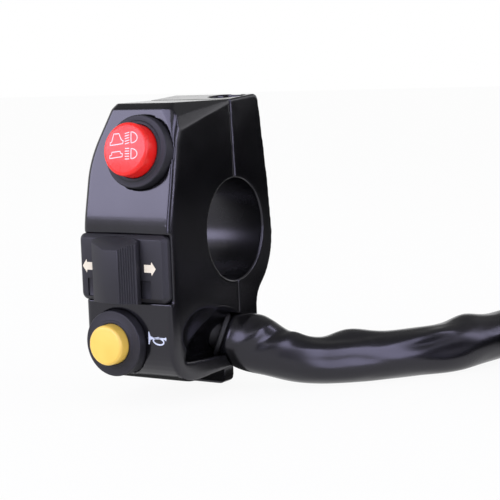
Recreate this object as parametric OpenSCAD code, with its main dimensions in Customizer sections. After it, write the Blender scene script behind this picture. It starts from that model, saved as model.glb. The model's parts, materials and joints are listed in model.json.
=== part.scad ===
// Handlebar switch cluster: a two-half housing that clamps round a handlebar, with a red dimmer
// push button, a sliding turn-signal knob on a raised plate, a yellow horn push button, and a
// sleeved cable that ends in a small connector.
// Millimetres. X runs along the bar, +Y to the rear clamp half, +Z up; the origin is the middle of
// the clamp bore, and the two halves part on the plane y = 0.

/* [Handlebar] */
// Diameter of the handlebar that the bore clamps
bar_d = 22.2; // [21.6:0.1:22.8]
// Chamfer at both rims of the bore
rim_chamfer = 0.3; // [0.2:0.1:1]

/* [Front housing] */
// Width of the housing along the bar
body_w = 22.6; // [22.2:0.1:24]
// Height of the top face above the bar's axis
top_h = 28.3; // [27.8:0.1:30]
// Depth of the bottom face below the bar's axis
bottom_h = 30.7; // [30.2:0.1:32]
// Distance of the upright part of the panel in front of the bar's axis
front_d = 25.6; // [25.2:0.1:27]
// How far the upper panel leans back, in degrees
lean = 12; // [9:0.5:14]
// Height at which the panel starts to lean back
lean_z = 3; // [2.6:0.1:4]
// How much the bottom face rises to the rear, in degrees
bottom_rise = 2.3; // [0:0.1:3]
// Radius of the rounded lower front edge
bottom_r = 8; // [6:0.5:9]
// Wall thickness of the housing
wall = 2.2; // [1.8:0.1:2.4]
// Rounding between the panel and the left side
edge_r = 1.5; // [0.8:0.1:1.6]
// Width of the rounding between the panel and the right side
right_edge = 0.7; // [0.5:0.1:1.6]
// Depth of that rounding along the right side
right_run = 3; // [1:0.1:4]
// Bevel between the panel and the top face
top_bevel = 1.15; // [0.6:0.05:1.6]
// How much the left edge draws in for each millimetre of height near the top
taper_slope = 0.446; // [0.3:0.02:0.5]
// Middle of the stretch over which the left edge bends inwards
taper_z = 16.5; // [15:0.5:18]
// Height of the three-cornered facet at the top right
facet_h = 3.9; // [2:0.1:5]
// Width of that facet at the panel
facet_w = 2.65; // [1:0.05:3.5]
// Height of the softer step below that facet
facet_step = 2.4; // [1:0.1:3]
// How far the panel's top right corner is rounded off
corner_run = 4.6; // [2:0.1:5]
// How far the sides draw in between the bore and the top
side_draft = 0.6; // [0:0.1:0.8]
// Thickness of the saddle round the bore
saddle_wall = 2.5; // [2:0.1:2.7]

/* [Cable scoop] */
// Radius of the ball-shaped scoop in the right side
scoop_r = 21; // [19:0.5:23]
// Depth of the scoop
scoop_depth = 5; // [4:0.1:5.2]
// Height of the ledge left below the scoop, at the parting plane
scoop_ledge = 3.25; // [2:0.05:4]
// How much the ledge rises to the front, in degrees
ledge_rise = 4; // [0:0.5:6]

/* [Rear clamp] */
// Gap between the two halves
seam_gap = 0.25; // [0.1:0.05:0.5]
// Radius of the bulge round the bore
bulge_r = 14.9; // [14.2:0.1:16]
// How far the bulge sits below the bar's axis
bulge_drop = 2.2; // [1:0.1:2.4]
// Depth of the rear clamp at its top
clamp_top_d = 11.7; // [11.2:0.1:13]
// Depth of the leg below the bulge
leg_d = 7.6; // [7:0.1:9]
// Radius of the hollow fillet between bulge and leg
leg_fillet = 6; // [4:0.5:7]
// Radius of the round pocket in the top
pocket_r = 4; // [3:0.1:4.2]
// Depth of the round pocket in the top
pocket_depth = 5; // [3:0.5:8]
// Width of the foot under the leg
foot_w = 12; // [8:0.2:14]
// Thickness of the foot
foot_t = 3.9; // [3:0.1:5]
// Height of the foot below the housing
foot_h = 4.7; // [4:0.1:7]

/* [Clamp screws] */
// Diameter of the clamp screws
screw_d = 5; // [4:0.5:5]
// Length of the clamp screws under the head
screw_l = 14; // [12:0.5:15]
// Diameter of the screw heads
head_d = 8; // [7:0.5:8.4]
// Height of the screw heads
head_h = 3; // [2.4:0.1:3.4]

/* [Dimmer button] */
// Place of the red button along the bar
dimmer_x = 2.9; // [2.4:0.1:3.2]
// Distance of the red button below the top face
dimmer_drop = 10.2; // [9.9:0.1:10.7]
// Radius of the red button's bezel ring
dimmer_ring_r = 7.7; // [7.4:0.1:7.8]
// Radius of the red cap
dimmer_cap_r = 5.6; // [5.2:0.1:5.8]
// How far the red cap stands out beyond its ring
dimmer_reach = 4.1; // [3.6:0.1:6]
// Travel of the red cap
dimmer_travel = 2.4; // [1.5:0.1:2.6]

/* [Horn button] */
// Place of the yellow button along the bar
horn_x = -2.7; // [-3:0.1:-2.2]
// Height of the yellow button (below the bar's axis)
horn_z = -21.8; // [-22.1:0.1:-21.4]
// Radius of the yellow button's bezel ring
horn_ring_r = 7; // [6.6:0.1:7.2]
// Radius of the yellow cap
horn_cap_r = 4.25; // [4.1:0.05:4.5]
// How far the yellow cap stands out beyond its ring
horn_reach = 3.2; // [3:0.1:5]
// Travel of the yellow cap
horn_travel = 2.2; // [1.5:0.1:2.6]

/* [Both buttons] */
// Height of a bezel ring above the panel
ring_h = 2.1; // [1.4:0.1:2.6]
// Height of the raised lip inside a ring
lip_h = 0.3; // [0.1:0.05:0.6]
// Wall of a bezel's barrel
barrel_wall = 0.9; // [0.7:0.05:1.1]
// Wall of a cap
cap_wall = 0.95; // [0.8:0.05:1.1]
// Rounding of a cap's front edge
cap_edge = 1.1; // [0.4:0.1:1.2]
// Radius of a plunger's stem
stem_r = 1.5; // [1.3:0.1:1.6]
// Diameter of the return springs' wire
wire_d = 0.45; // [0.3:0.05:0.5]
// Turns of a return spring
spring_turns = 6; // [4:1:7]

/* [Turn-signal slide] */
// Middle of the knob's track along the bar
turn_x = -1.3; // [-1.6:0.1:-1]
// Middle of the plate along the bar
plate_x = -0.45; // [-0.6:0.05:0]
// Middle height of the plate
turn_z = -5.85; // [-6.1:0.05:-5.6]
// Height of the plate
plate_h = 14.2; // [13.6:0.1:14.6]
// How far the plate stands out of the panel
plate_proud = 0.9; // [0.6:0.1:1.4]
// How deep the plate sits in the panel
plate_sink = 1.1; // [0.9:0.1:1.4]
// Chamfer round the plate's front
plate_chamfer = 0.9; // [0.4:0.1:1]
// Width of the knob at its foot
knob_w = 11.5; // [10:0.1:12]
// Width of the knob's flat crest
knob_crest = 3.6; // [2:0.1:5]
// Height of the knob's upright sides
knob_side = 1.4; // [1:0.1:2]
// Height of the knob's crest above the plate
knob_out = 2.9; // [2.4:0.1:4]
// Height of the knob along the plate
knob_h = 14; // [12:0.1:14.4]
// Ribs on the knob's right slope
rib_n = 7; // [4:1:8]
// Travel of the knob to each side
turn_travel = 2.6; // [1.5:0.1:2.6]

/* [Cable] */
// Outside diameter of the cable's sleeve
sleeve_d = 10.8; // [10:0.1:11]
// Width of the tie round the coil
tie_w = 3.6; // [2.5:0.1:5]
// Thickness of the tie
tie_t = 1; // [0.6:0.1:1.4]
// Diameter of the wires at the cable's end
lead_d = 2; // [1.4:0.1:2.2]
// Free length of the wires at the cable's end
lead_l = 14; // [8:0.5:16]
// Length of the connector
conn_l = 22; // [16:0.5:24]
// Width of the connector
conn_w = 13; // [12:0.5:15]

/* [Fits] */
// Gap of a part that slides in another
slide_gap = 0.1; // [0.06:0.01:0.15]
// Gap of a part that is set into another
seat_gap = 0.05; // [0.02:0.01:0.1]
// Gap that parts keep where they only pass each other
pass_gap = 0.3; // [0.2:0.05:0.4]

/* [Hidden] */
$fn = 64;

// Places that more than one piece shares
bar_r = bar_d / 2;
half_w = body_w / 2;
saddle_r = bar_r + saddle_wall;
far = 100;
// Reach of a cutter past what it cuts, and overlap of two shapes that are fused
past = 1;
skin = 0.01;
floor_z = -(bottom_h + foot_h);
dimmer_z = top_h - dimmer_drop;

// Smooth ramp: nothing well below zero, a straight slope well above it
function ramp(t, b) = t <= -b ? 0 : t >= b ? t : (t + b) * (t + b) / (4 * b);

// Outline of the front housing at height z: depth of the panel, then its two side edges
lean_blend = 2.5;
taper_blend = 4.5;
corner_z = 20;
bottom_arc_z = -(bottom_h - bottom_r);
bevel_z = top_h - top_bevel;
function arc_d(z) = sqrt(max(0, pow(bottom_r, 2) - pow(z - bottom_arc_z, 2)));
function panel_d(z) = z < bottom_arc_z ? front_d - bottom_r + arc_d(z)
    : front_d - tan(lean) * ramp(z - lean_z, lean_blend) - max(0, z - bevel_z);
function left_w(z) = half_w - taper_slope * ramp(z - taper_z, taper_blend);
function draft(z) = side_draft * max(0, z - bar_r) / (top_h - bar_r);
function right_w(z) = half_w - draft(z);
function corner_w(z) = right_edge + corner_run * pow(max(0, z - corner_z) / (top_h - corner_z), 2);

// One level section of the front housing, from the parting plane round the panel and back
arc_n = 6;
function section(z) = concat(
    [[-right_w(z), 0, z]],
    [for (i = [0 : arc_n]) let (a = 90 * i / arc_n)
        [-left_w(z) + edge_r * (1 - cos(a)), -panel_d(z) + edge_r * (1 - sin(a)), z]],
    [for (i = [arc_n : -1 : 0]) let (a = 90 * i / arc_n)
        [right_w(z) - corner_w(z) * (1 - cos(a)), -panel_d(z) + right_run * (1 - sin(a)), z]],
    [[right_w(z), 0, z]]);
bottom_steps = 10;
panel_steps = 30;
panel_z0 = lean_z - lean_blend;
levels = concat(
    [for (i = [0 : bottom_steps]) bottom_arc_z - bottom_r * cos(90 * i / bottom_steps)],
    [for (i = [0 : panel_steps]) panel_z0 + (bevel_z - panel_z0) * i / panel_steps],
    [top_h]);

// Cutter on the far side of the plane through three points
module beyond(a, b, c) {
    n = unit(cross(b - a, c - a));
    translate(a) rotate([0, acos(n[2]), atan2(n[1], n[0])]) translate([-far / 2, -far / 2, 0]) cube(far);
}
// Three-cornered facet, from the top face and the panel to the parting plane, and the step below it
module facet_cut() {
    low = top_h - facet_h;
    rear = [right_w(top_h), 0, top_h];
    upper = [half_w - facet_w, -panel_d(top_h), top_h];
    lower = [right_w(low), -panel_d(low), low];
    step_z = low - facet_step;
    beyond(upper, lower, rear);
    beyond(lower + 0.3 * (upper - lower), [right_w(step_z), -panel_d(step_z), step_z], rear - [0, 0, 0.5]);
}
// Bottom face, rising to the rear from where the panel's lower rounding ends
module under_cut() {
    translate([0, bottom_r - front_d, -bottom_h]) rotate([bottom_rise, 0, 0])
        translate([-far / 2, 0, -far]) cube(far);
}

// Solid through rings of points that all have the same count, closed at both ends
module loft(rings) {
    n = len(rings[0]);
    m = len(rings);
    polyhedron(
        points = [for (r = rings) each r],
        faces = concat(
            [[for (j = [0 : n - 1]) j]],
            [for (i = [0 : m - 2], j = [0 : n - 1]) [i * n + j, (i + 1) * n + j, (i + 1) * n + (j + 1) % n]],
            [for (i = [0 : m - 2], j = [0 : n - 1]) [i * n + j, (i + 1) * n + (j + 1) % n, i * n + (j + 1) % n]],
            [[for (j = [n - 1 : -1 : 0]) (m - 1) * n + j]]));
}

// Rings of a round tube along a path, each square to the path where it stands
function unit(v) = v / norm(v);
function heading(p, i) = unit(p[min(i + 1, len(p) - 1)] - p[max(i - 1, 0)]);
function side_of(t) = unit(cross(t, abs(t[2]) > 0.9 ? [1, 0, 0] : [0, 0, 1]));
function tube_rings(path, r, sides) = [for (i = [0 : len(path) - 1])
    let (t = heading(path, i), s = side_of(t), u = cross(s, t))
    [for (j = [0 : sides - 1]) let (a = -360 * j / sides) path[i] + r * (cos(a) * s + sin(a) * u)]];

// Flat shape given as (y, z), drawn out along X about the middle
module along_x(l) {
    rotate([90, 0, 90]) linear_extrude(l, center = true) children();
}
// Flat shape given as (x, z), drawn out along Y between two depths
module along_y(y0, y1) {
    translate([0, y1, 0]) rotate([90, 0, 0]) linear_extrude(y1 - y0) children();
}
module bar_round(r, l) {
    rotate([0, 90, 0]) cylinder(r = r, h = l, center = true);
}
// Cones that break both rims of the bore
module bore_rims() {
    for (s = [-1, 1])
        translate([s * half_w, 0, 0]) rotate([0, -90 * s, 0])
            translate([0, 0, -skin]) cylinder(r1 = bar_r + rim_chamfer + skin, r2 = bar_r, h = rim_chamfer + skin);
}

// Frames of the two buttons: outwards along +Z from the panel
module at_dimmer() {
    translate([dimmer_x, -panel_d(dimmer_z), dimmer_z]) rotate([90 - lean, 0, 0]) children();
}
module at_horn() {
    translate([horn_x, -front_d, horn_z]) rotate([90, 0, 0]) children();
}

// Push button stations, measured along its axis from the panel
skirt_in = 1;
stop_gap = 0.5;
shelf_t = 1.2;
snap_gap = 0.2;
snap_h = 1;
contact_t = 0.4;
rivet_h = 0.4;
base_t = 1.8;
boss_wall = 0.8;
cap_top = 1.3;
tail_l = 3.2;
dimmer_sink = 0.8;
horn_sink = 3.6;
function shelf_top(travel) = -(skirt_in + travel + stop_gap);
function shelf_low(travel) = shelf_top(travel) - shelf_t;
function plunger_low(travel) = shelf_low(travel) - snap_gap - snap_h;
function contact_low(travel) = plunger_low(travel) - contact_t;
function base_high(travel) = contact_low(travel) - travel - snap_gap - rivet_h;
function base_low(travel) = base_high(travel) - base_t;
function face_z(reach) = ring_h + reach;
function bore_r(cap_r) = cap_r + slide_gap;
function barrel_r(cap_r) = bore_r(cap_r) + barrel_wall;

// Bezel: ring with a raised lip outside, barrel with a guide shelf inside
ring_edge = 0.3;
lip_w = 0.75;
module press_bezel(ring_r, sink, cap_r, travel) {
    lip_r = bore_r(cap_r) + lip_w;
    rotate_extrude() polygon([
        [bore_r(cap_r), base_low(travel)], [barrel_r(cap_r), base_low(travel)],
        [barrel_r(cap_r), -sink], [ring_r, -sink], [ring_r, ring_h - ring_edge],
        [ring_r - ring_edge, ring_h], [lip_r, ring_h], [lip_r - lip_h / 2, ring_h + lip_h],
        [bore_r(cap_r), ring_h + lip_h], [bore_r(cap_r), shelf_top(travel)],
        [stem_r + slide_gap, shelf_top(travel)], [stem_r + slide_gap, shelf_low(travel)],
        [bore_r(cap_r), shelf_low(travel)]]);
}
// Cap: rounded cup with a socket for its plunger
socket_l = 2.5;
module press_cap(cap_r, reach) {
    face = face_z(reach);
    roof = face - cap_top;
    rotate_extrude() {
        difference() {
            translate([0, -skirt_in]) square([cap_r, face - cap_edge + skirt_in]);
            translate([-skin, -skirt_in - skin]) square([cap_r - cap_wall + skin, roof + skirt_in + skin]);
        }
        translate([0, face - cap_edge - skin]) square([cap_r - cap_edge, cap_edge + skin]);
        translate([0, roof]) square([cap_r - cap_edge, cap_top - cap_edge]);
        intersection() {
            translate([cap_r - cap_edge, face - cap_edge]) circle(r = cap_edge);
            translate([cap_r - cap_edge, face - cap_edge]) square(cap_edge);
        }
        translate([stem_r + seat_gap, roof - socket_l]) square([boss_wall, socket_l + skin]);
    }
}
// Plunger: stem with a snap head under the guide shelf
snap_w = 0.8;
module press_plunger(reach, travel) {
    low = plunger_low(travel);
    translate([0, 0, low]) cylinder(r = stem_r, h = face_z(reach) - cap_top - low);
    translate([0, 0, low]) cylinder(r = stem_r + snap_w, h = snap_h);
}
// Helical spring of round wire between two heights
module coil_spring(r, wire_r, low, high, turns, steps) {
    path = [for (i = [0 : turns * steps])
        [r * cos(360 * i / steps), r * sin(360 * i / steps), low + (high - low) * i / (turns * steps)]];
    loft(tube_rings(path, wire_r, 6));
}
module press_spring(cap_r, reach, travel) {
    inner = stem_r + seat_gap + boss_wall;
    outer = cap_r - cap_wall;
    seat = wire_d / 2 + seat_gap;
    coil_spring((inner + outer) / 2, wire_d / 2, shelf_top(travel) + seat,
        face_z(reach) - cap_top - seat, spring_turns, 10);
}
// Contact: springy disc that closes across the two rivets
dish_w = 0.8;
module press_contact(cap_r, travel) {
    low = contact_low(travel);
    difference() {
        translate([0, 0, low]) cylinder(r = cap_r - dish_w, h = contact_t);
        for (a = [0 : 120 : 240]) rotate(a)
            translate([cap_r - dish_w, 0, low - skin]) cylinder(r = dish_w, h = contact_t + 2 * skin);
    }
}
rivet_r = 1;
pin_r = 0.5;
rivet_share = 0.45;
function rivet_place(cap_r) = cap_r * rivet_share;
module press_base(cap_r, travel, turn) {
    difference() {
        translate([0, 0, base_low(travel)]) cylinder(r = bore_r(cap_r) - seat_gap, h = base_t);
        rotate(turn) for (s = [-1, 1])
            translate([s * rivet_place(cap_r), 0, base_low(travel) - skin])
                cylinder(r = pin_r + seat_gap, h = base_t + 2 * skin);
    }
}
module press_terminals(cap_r, travel, turn) {
    rotate(turn) for (s = [-1, 1]) translate([s * rivet_place(cap_r), 0, 0]) {
        translate([0, 0, base_high(travel)]) cylinder(r = rivet_r, h = rivet_h);
        translate([0, 0, base_low(travel) - tail_l]) cylinder(r = pin_r, h = tail_l + base_t + skin);
    }
}
// Room that a button takes out of the housing
module press_room(ring_r, sink, cap_r, travel) {
    translate([0, 0, -sink]) cylinder(r = ring_r + seat_gap, h = far / 4);
    translate([0, 0, base_low(travel) - pass_gap])
        cylinder(r = barrel_r(cap_r) + seat_gap, h = far / 4);
}

// Clamp screws: one above the bore and one below, on the left so that the cable passes
upper_drop = 8.3;
upper_screw = [-6.2, top_h - upper_drop];
lower_screw = [-6.8, -21.5];
upper_seat = 7;
lower_seat = 4;
boss_skin = 1.1;
boss_r = screw_d / 2 + boss_skin;
screw_list = [[upper_screw, upper_seat], [lower_screw, lower_seat]];
module at_screw(s) {
    translate([s[0][0], s[1], s[0][1]]) rotate([90, 0, 0]) children();
}

// Scoop in the right side, open to the cable's exit
scoop_y = -8.4;
scoop_z = -29.9;
ledge_z = -bottom_h + scoop_ledge;
module scoop() {
    intersection() {
        translate([half_w + scoop_r - scoop_depth, scoop_y, scoop_z]) sphere(r = scoop_r, $fn = 96);
        translate([0, 0, ledge_z]) rotate([-ledge_rise, 0, 0]) translate([0, -far / 2, 0]) cube(far);
    }
}

// Cable exit: outwards along +Z, down and to the rear
exit_in = 3.9;
exit_y = -2.1;
exit_z = -23.3;
exit_dip = 20;
exit_swing = 28;
grommet_neck = 2.6;
flange_r = 4.2;
neck_r = 3.4;
flange_well = 8;
ridge_t = 1.1;
waist_t = 1;
mouth = 2 * ridge_t + waist_t;
exit_p = [half_w - exit_in, exit_y, exit_z];
exit_dir = [cos(exit_dip) * cos(exit_swing), cos(exit_dip) * sin(exit_swing), -sin(exit_dip)];
module at_exit() {
    translate(exit_p) rotate([0, 90 + exit_dip, exit_swing]) children();
}
// Room for the grommet and for the sleeve's mouth
module exit_room() {
    at_exit() {
        cylinder(r = sleeve_d / 2 + pass_gap, h = far / 4);
        translate([0, 0, -flange_well]) cylinder(r = neck_r + seat_gap, h = flange_well + skin);
        translate([0, 0, -flange_well]) cylinder(r = flange_r + pass_gap, h = flange_well - grommet_neck);
    }
}

// Turn-signal slide stations, measured along Y
plate_front = -(front_d + plate_proud);
plate_back = -(front_d - plate_sink);
carriage_t = 3.2;
carriage_w = 8;
carriage_h = 7;
wiper_t = 0.4;
slide_clear = 0.15;
carriage_front = plate_back + slide_clear;
carriage_back = carriage_front + carriage_t;
head_front = carriage_back + wiper_t + slide_clear;
tray_front = head_front + rivet_h;
tray_t = 1.6;
tray_back = tray_front + tray_t;
tray_wall = 1.2;
tray_clear = 0.3;
tray_x = carriage_w / 2 + turn_travel + tray_clear;
tray_z = carriage_h / 2 + tray_clear;
detent_wall = 1.8;
turn_tail = 3.6;
knob_stem_w = 4.4;
knob_stem_h = 3.2;
knob_stem_z = -1.2;
module at_turn() {
    translate([turn_x, 0, turn_z]) children();
}
module box_between(x, y0, y1, z0, z1) {
    translate([-x, y0, z0]) cube([2 * x, y1 - y0, z1 - z0]);
}
// Outside of the tray, from the depth y0 inwards
module tray_block(y0, gap) {
    box_between(tray_x + tray_wall + gap, y0, tray_back + gap, -tray_z - tray_wall - gap, tray_z + detent_wall + gap);
}

// Room inside the front housing: the side view's outline crossed with the front view's
room_top = top_h - wall;
room_low = -(bottom_h - wall);
room_w = half_w - wall;
scoop_in = half_w - scoop_depth - wall;
scoop_high = scoop_z + sqrt(pow(scoop_r, 2) - pow(scoop_r - scoop_depth, 2)) + wall;
slant_wall = 1.1 * wall;
corner_wall = 1.5 * wall;
module housing_room() {
    intersection() {
        along_x(body_w) polygon([
            [skin, room_top], [corner_wall - panel_d(bevel_z), room_top],
            [slant_wall - panel_d(lean_z + lean_blend), lean_z + lean_blend],
            [wall - front_d, panel_z0], [wall - front_d, bottom_arc_z],
            [bottom_r - front_d, room_low], [skin, room_low]]);
        along_y(-front_d, skin) polygon([
            [-room_w, room_low], [scoop_in, room_low], [scoop_in, scoop_high], [room_w, scoop_high],
            [room_w, top_h - facet_h - wall], [right_w(top_h) - corner_wall, room_top],
            [corner_wall - left_w(top_h), room_top], [-room_w, taper_z - taper_blend]]);
    }
}

module front_housing() {
    color([0.06, 0.06, 0.065]) difference() {
        loft([for (z = levels) section(z)]);
        difference() {
            housing_room();
            bar_round(saddle_r, 2 * body_w);
            for (s = screw_list) at_screw(s) cylinder(r = boss_r, h = screw_l + wall);
            at_horn() translate([0, 0, -horn_sink - wall])
                cylinder(r = horn_ring_r + wall / 2, h = horn_sink + wall);
        }
        bar_round(bar_r, 2 * body_w);
        bore_rims();
        at_dimmer() press_room(dimmer_ring_r, dimmer_sink, dimmer_cap_r, dimmer_travel);
        at_horn() press_room(horn_ring_r, horn_sink, horn_cap_r, horn_travel);
        translate([-far / 2, plate_front, turn_z - plate_h / 2 - seat_gap])
            cube([far, plate_back - plate_front, plate_h + 2 * seat_gap]);
        at_turn() tray_block(plate_front, seat_gap);
        for (s = screw_list) at_screw(s) cylinder(r = screw_d / 2 + seat_gap, h = screw_l + seat_gap);
        scoop();
        exit_room();
        facet_cut();
        under_cut();
    }
}

// Rear half: outline of upper block, bulge, hollow fillet and leg, drawn out along the bar
bulge_c = [0, -bulge_drop];
clamp_rise = 0.9;
clamp_top = [clamp_top_d, top_h + clamp_rise];
tangent_a = atan2(clamp_top[1] - bulge_c[1], clamp_top[0]) - acos(bulge_r / norm(clamp_top - bulge_c));
tangent_p = bulge_c + bulge_r * [cos(tangent_a), sin(tangent_a)];
fillet_c = [leg_d + leg_fillet,
    bulge_c[1] - sqrt(pow(bulge_r + leg_fillet, 2) - pow(leg_d + leg_fillet, 2))];
pocket_x = 5.8;
pocket_y = 6.5;
foot_y = 1.3;
foot_corner = 1.5;
module clamp_outline() {
    intersection() {
        union() {
            translate(bulge_c) circle(r = bulge_r, $fn = 96);
            polygon([bulge_c, tangent_p, clamp_top, [0, top_h]]);
            translate([0, -bottom_h]) square([leg_d, bottom_h]);
            difference() {
                polygon([bulge_c, fillet_c, [leg_d, fillet_c[1]], [0, fillet_c[1]]]);
                translate(fillet_c) circle(r = leg_fillet);
            }
        }
        translate([seam_gap, -far]) square([far, 2 * far]);
    }
}
module rear_clamp() {
    color([0.06, 0.06, 0.065]) difference() {
        union() {
            difference() {
                along_x(body_w) clamp_outline();
                under_cut();
                for (s = [0, 1]) mirror([s, 0, 0]) along_y(0, far / 2)
                    polygon([[half_w, bar_r], [half_w - draft(far), far], [far, far]]);
            }
            along_y(foot_y, foot_y + foot_t) {
                translate([-foot_w / 2, floor_z + foot_corner]) square([foot_w, foot_h - foot_corner + past]);
                translate([-foot_w / 2 + foot_corner, floor_z]) square([foot_w - 2 * foot_corner, foot_h]);
                for (s = [-1, 1])
                    translate([s * (foot_w / 2 - foot_corner), floor_z + foot_corner]) circle(r = foot_corner);
            }
        }
        bar_round(bar_r, 2 * body_w);
        bore_rims();
        for (s = screw_list) at_screw(s) {
            translate([0, 0, -far / 4]) cylinder(r = head_d / 2 + pass_gap, h = far / 4);
            translate([0, 0, -skin]) cylinder(r = screw_d / 2 + pass_gap, h = far / 4);
        }
        translate([pocket_x, pocket_y, top_h - pocket_depth]) cylinder(r = pocket_r, h = far / 4);
        scoop();
        exit_room();
    }
}

// Pan-head screws with a cross recess
recess_w = 1.1;
recess_l = 4.6;
recess_d = 1.6;
module clamp_screws() {
    color("silver") for (s = screw_list) at_screw(s) difference() {
        union() {
            cylinder(r = screw_d / 2, h = screw_l);
            translate([0, 0, -head_h]) cylinder(r1 = head_d / 2 - head_h / 4, r2 = head_d / 2, h = head_h / 2);
            translate([0, 0, -head_h / 2]) cylinder(r = head_d / 2, h = head_h / 2);
        }
        for (a = [0, 90]) rotate(a)
            translate([-recess_l / 2, -recess_w / 2, -head_h - skin]) cube([recess_l, recess_w, recess_d]);
    }
}

module dimmer_bezel() {
    color([0.2, 0.2, 0.21]) at_dimmer() press_bezel(dimmer_ring_r, dimmer_sink, dimmer_cap_r, dimmer_travel);
}
module dimmer_cap() {
    color([0.9, 0.12, 0.1]) at_dimmer() press_cap(dimmer_cap_r, dimmer_reach);
}
module dimmer_plunger() {
    color([0.85, 0.84, 0.8]) at_dimmer() press_plunger(dimmer_reach, dimmer_travel);
}
module dimmer_spring() {
    color("silver") at_dimmer() press_spring(dimmer_cap_r, dimmer_reach, dimmer_travel);
}
module dimmer_contact() {
    color([0.8, 0.65, 0.3]) at_dimmer() press_contact(dimmer_cap_r, dimmer_travel);
}
module dimmer_base() {
    color([0.35, 0.2, 0.12]) at_dimmer() press_base(dimmer_cap_r, dimmer_travel, 0);
}
module dimmer_terminals() {
    color([0.8, 0.65, 0.3]) at_dimmer() press_terminals(dimmer_cap_r, dimmer_travel, 0);
}

module horn_bezel() {
    color([0.2, 0.2, 0.21]) at_horn() press_bezel(horn_ring_r, horn_sink, horn_cap_r, horn_travel);
}
module horn_cap() {
    color([0.98, 0.76, 0.15]) at_horn() press_cap(horn_cap_r, horn_reach);
}
module horn_plunger() {
    color([0.85, 0.84, 0.8]) at_horn() press_plunger(horn_reach, horn_travel);
}
module horn_spring() {
    color("silver") at_horn() press_spring(horn_cap_r, horn_reach, horn_travel);
}
module horn_contact() {
    color([0.8, 0.65, 0.3]) at_horn() press_contact(horn_cap_r, horn_travel);
}
module horn_base() {
    color([0.35, 0.2, 0.12]) at_horn() press_base(horn_cap_r, horn_travel, 90);
}
module horn_terminals() {
    color([0.8, 0.65, 0.3]) at_horn() press_terminals(horn_cap_r, horn_travel, 90);
}

// Plate: chamfered all round, with the knob's slot and a shallow track along its lower half
plate_corner = 1.5;
track_x = 8.2;
track_top = -2.4;
track_low = plate_chamfer - plate_h / 2;
track_d = 0.4;
module plate_corners(inset) {
    for (x = [-1, 1], z = [-1, 1])
        translate([x * (half_w - plate_corner), z * (plate_h / 2 - plate_corner)])
            circle(r = plate_corner - inset, $fn = 32);
}
// Room for the knob's stem, with a gap all round and a reach to each side
module stem_room(reach, gap) {
    translate([0, 0, knob_stem_z]) box_between(knob_stem_w / 2 + reach, plate_front - past, carriage_back + past,
        -knob_stem_h / 2 - gap, knob_stem_h / 2 + gap);
}
module turn_plate() {
    color([0.12, 0.12, 0.13]) difference() {
        translate([plate_x, 0, turn_z]) hull() {
            along_y(plate_front + plate_chamfer, plate_back) plate_corners(0);
            along_y(plate_front, plate_back) plate_corners(plate_chamfer);
        }
        at_turn() {
            stem_room(turn_travel + pass_gap, slide_gap);
            box_between(track_x, plate_front - past, plate_front + track_d, track_low, track_top);
        }
    }
}

// Knob: ridge with a flat crest, ribbed on its right slope, with an arched top that slopes forwards
knob_back = plate_front - slide_gap;
knob_front = plate_front - knob_out;
knob_shoulder = knob_back - knob_side;
knob_drop = 0.15;
knob_top = knob_h / 2 - knob_drop;
top_slope = 1.8;
arch_rise = 0.75;
arch_r = (pow(knob_w / 2, 2) + pow(arch_rise, 2)) / (2 * arch_rise);
rib_r = 0.2;
slope_w = (knob_w - knob_crest) / 2;
slope_h = knob_shoulder - knob_front;
module turn_knob() {
    color([0.1, 0.1, 0.105]) at_turn() {
        difference() {
            intersection() {
                translate([0, 0, -knob_h]) linear_extrude(2 * knob_h) polygon([
                    [-knob_w / 2, knob_back], [-knob_w / 2, knob_shoulder], [-knob_crest / 2, knob_front],
                    [knob_crest / 2, knob_front], [knob_w / 2, knob_shoulder], [knob_w / 2, knob_back]]);
                along_x(2 * knob_w) polygon([
                    [knob_back, knob_top - knob_h], [knob_back, knob_top],
                    [knob_front, knob_top - top_slope], [knob_front, knob_top - knob_h]]);
                along_y(knob_front - past, knob_back + past)
                    translate([0, knob_top - arch_r]) circle(r = arch_r, $fn = 128);
            }
            for (i = [1 : rib_n])
                translate([knob_crest / 2 + slope_w * i / (rib_n + 1), knob_front + slope_h * i / (rib_n + 1), -knob_h])
                    cylinder(r = rib_r, h = 2 * knob_h, $fn = 16);
        }
        translate([0, 0, knob_stem_z]) box_between(knob_stem_w / 2, knob_back - skin, carriage_back,
            -knob_stem_h / 2, knob_stem_h / 2);
    }
}

// Carriage: slides in the tray behind the plate, carries the wiper and a sprung ball
ball_r = 0.9;
ball_out = 0.5;
ball_y = (carriage_front + carriage_back) / 2;
ball_z = carriage_h / 2 + ball_out - ball_r;
well_floor = 0.5;
well_low = knob_stem_z + knob_stem_h / 2 + well_floor;
detent_wire_r = 0.15;
module turn_carriage() {
    color([0.86, 0.85, 0.8]) at_turn() difference() {
        box_between(carriage_w / 2, carriage_front, carriage_back, -carriage_h / 2, carriage_h / 2);
        stem_room(seat_gap, seat_gap);
        translate([0, ball_y, well_low]) cylinder(r = ball_r + slide_gap, h = carriage_h);
    }
}
module turn_detent_ball() {
    color("silver") at_turn() translate([0, ball_y, ball_z]) sphere(r = ball_r);
}
module turn_detent_spring() {
    seat = detent_wire_r + seat_gap;
    r = ball_r - seat;
    top = ball_z - sqrt(pow(ball_r + seat, 2) - pow(r, 2));
    color("silver") at_turn() translate([0, ball_y, 0])
        coil_spring(r, detent_wire_r, well_low + seat, top, 3, 8);
}
// Wiper: strip across the carriage's back, with a tongue at each end
wiper_x = 3.6;
wiper_z = 1.1;
module turn_wiper() {
    color([0.8, 0.65, 0.3]) at_turn() translate([0, 0, knob_stem_z]) {
        box_between(wiper_x, carriage_back, carriage_back + wiper_t, -wiper_z, wiper_z);
        for (s = [-1, 1]) translate([s * wiper_x, 0, 0])
            box_between(wiper_z / 3, carriage_back, carriage_back + wiper_t, -2 * wiper_z, 2 * wiper_z);
    }
}

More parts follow.
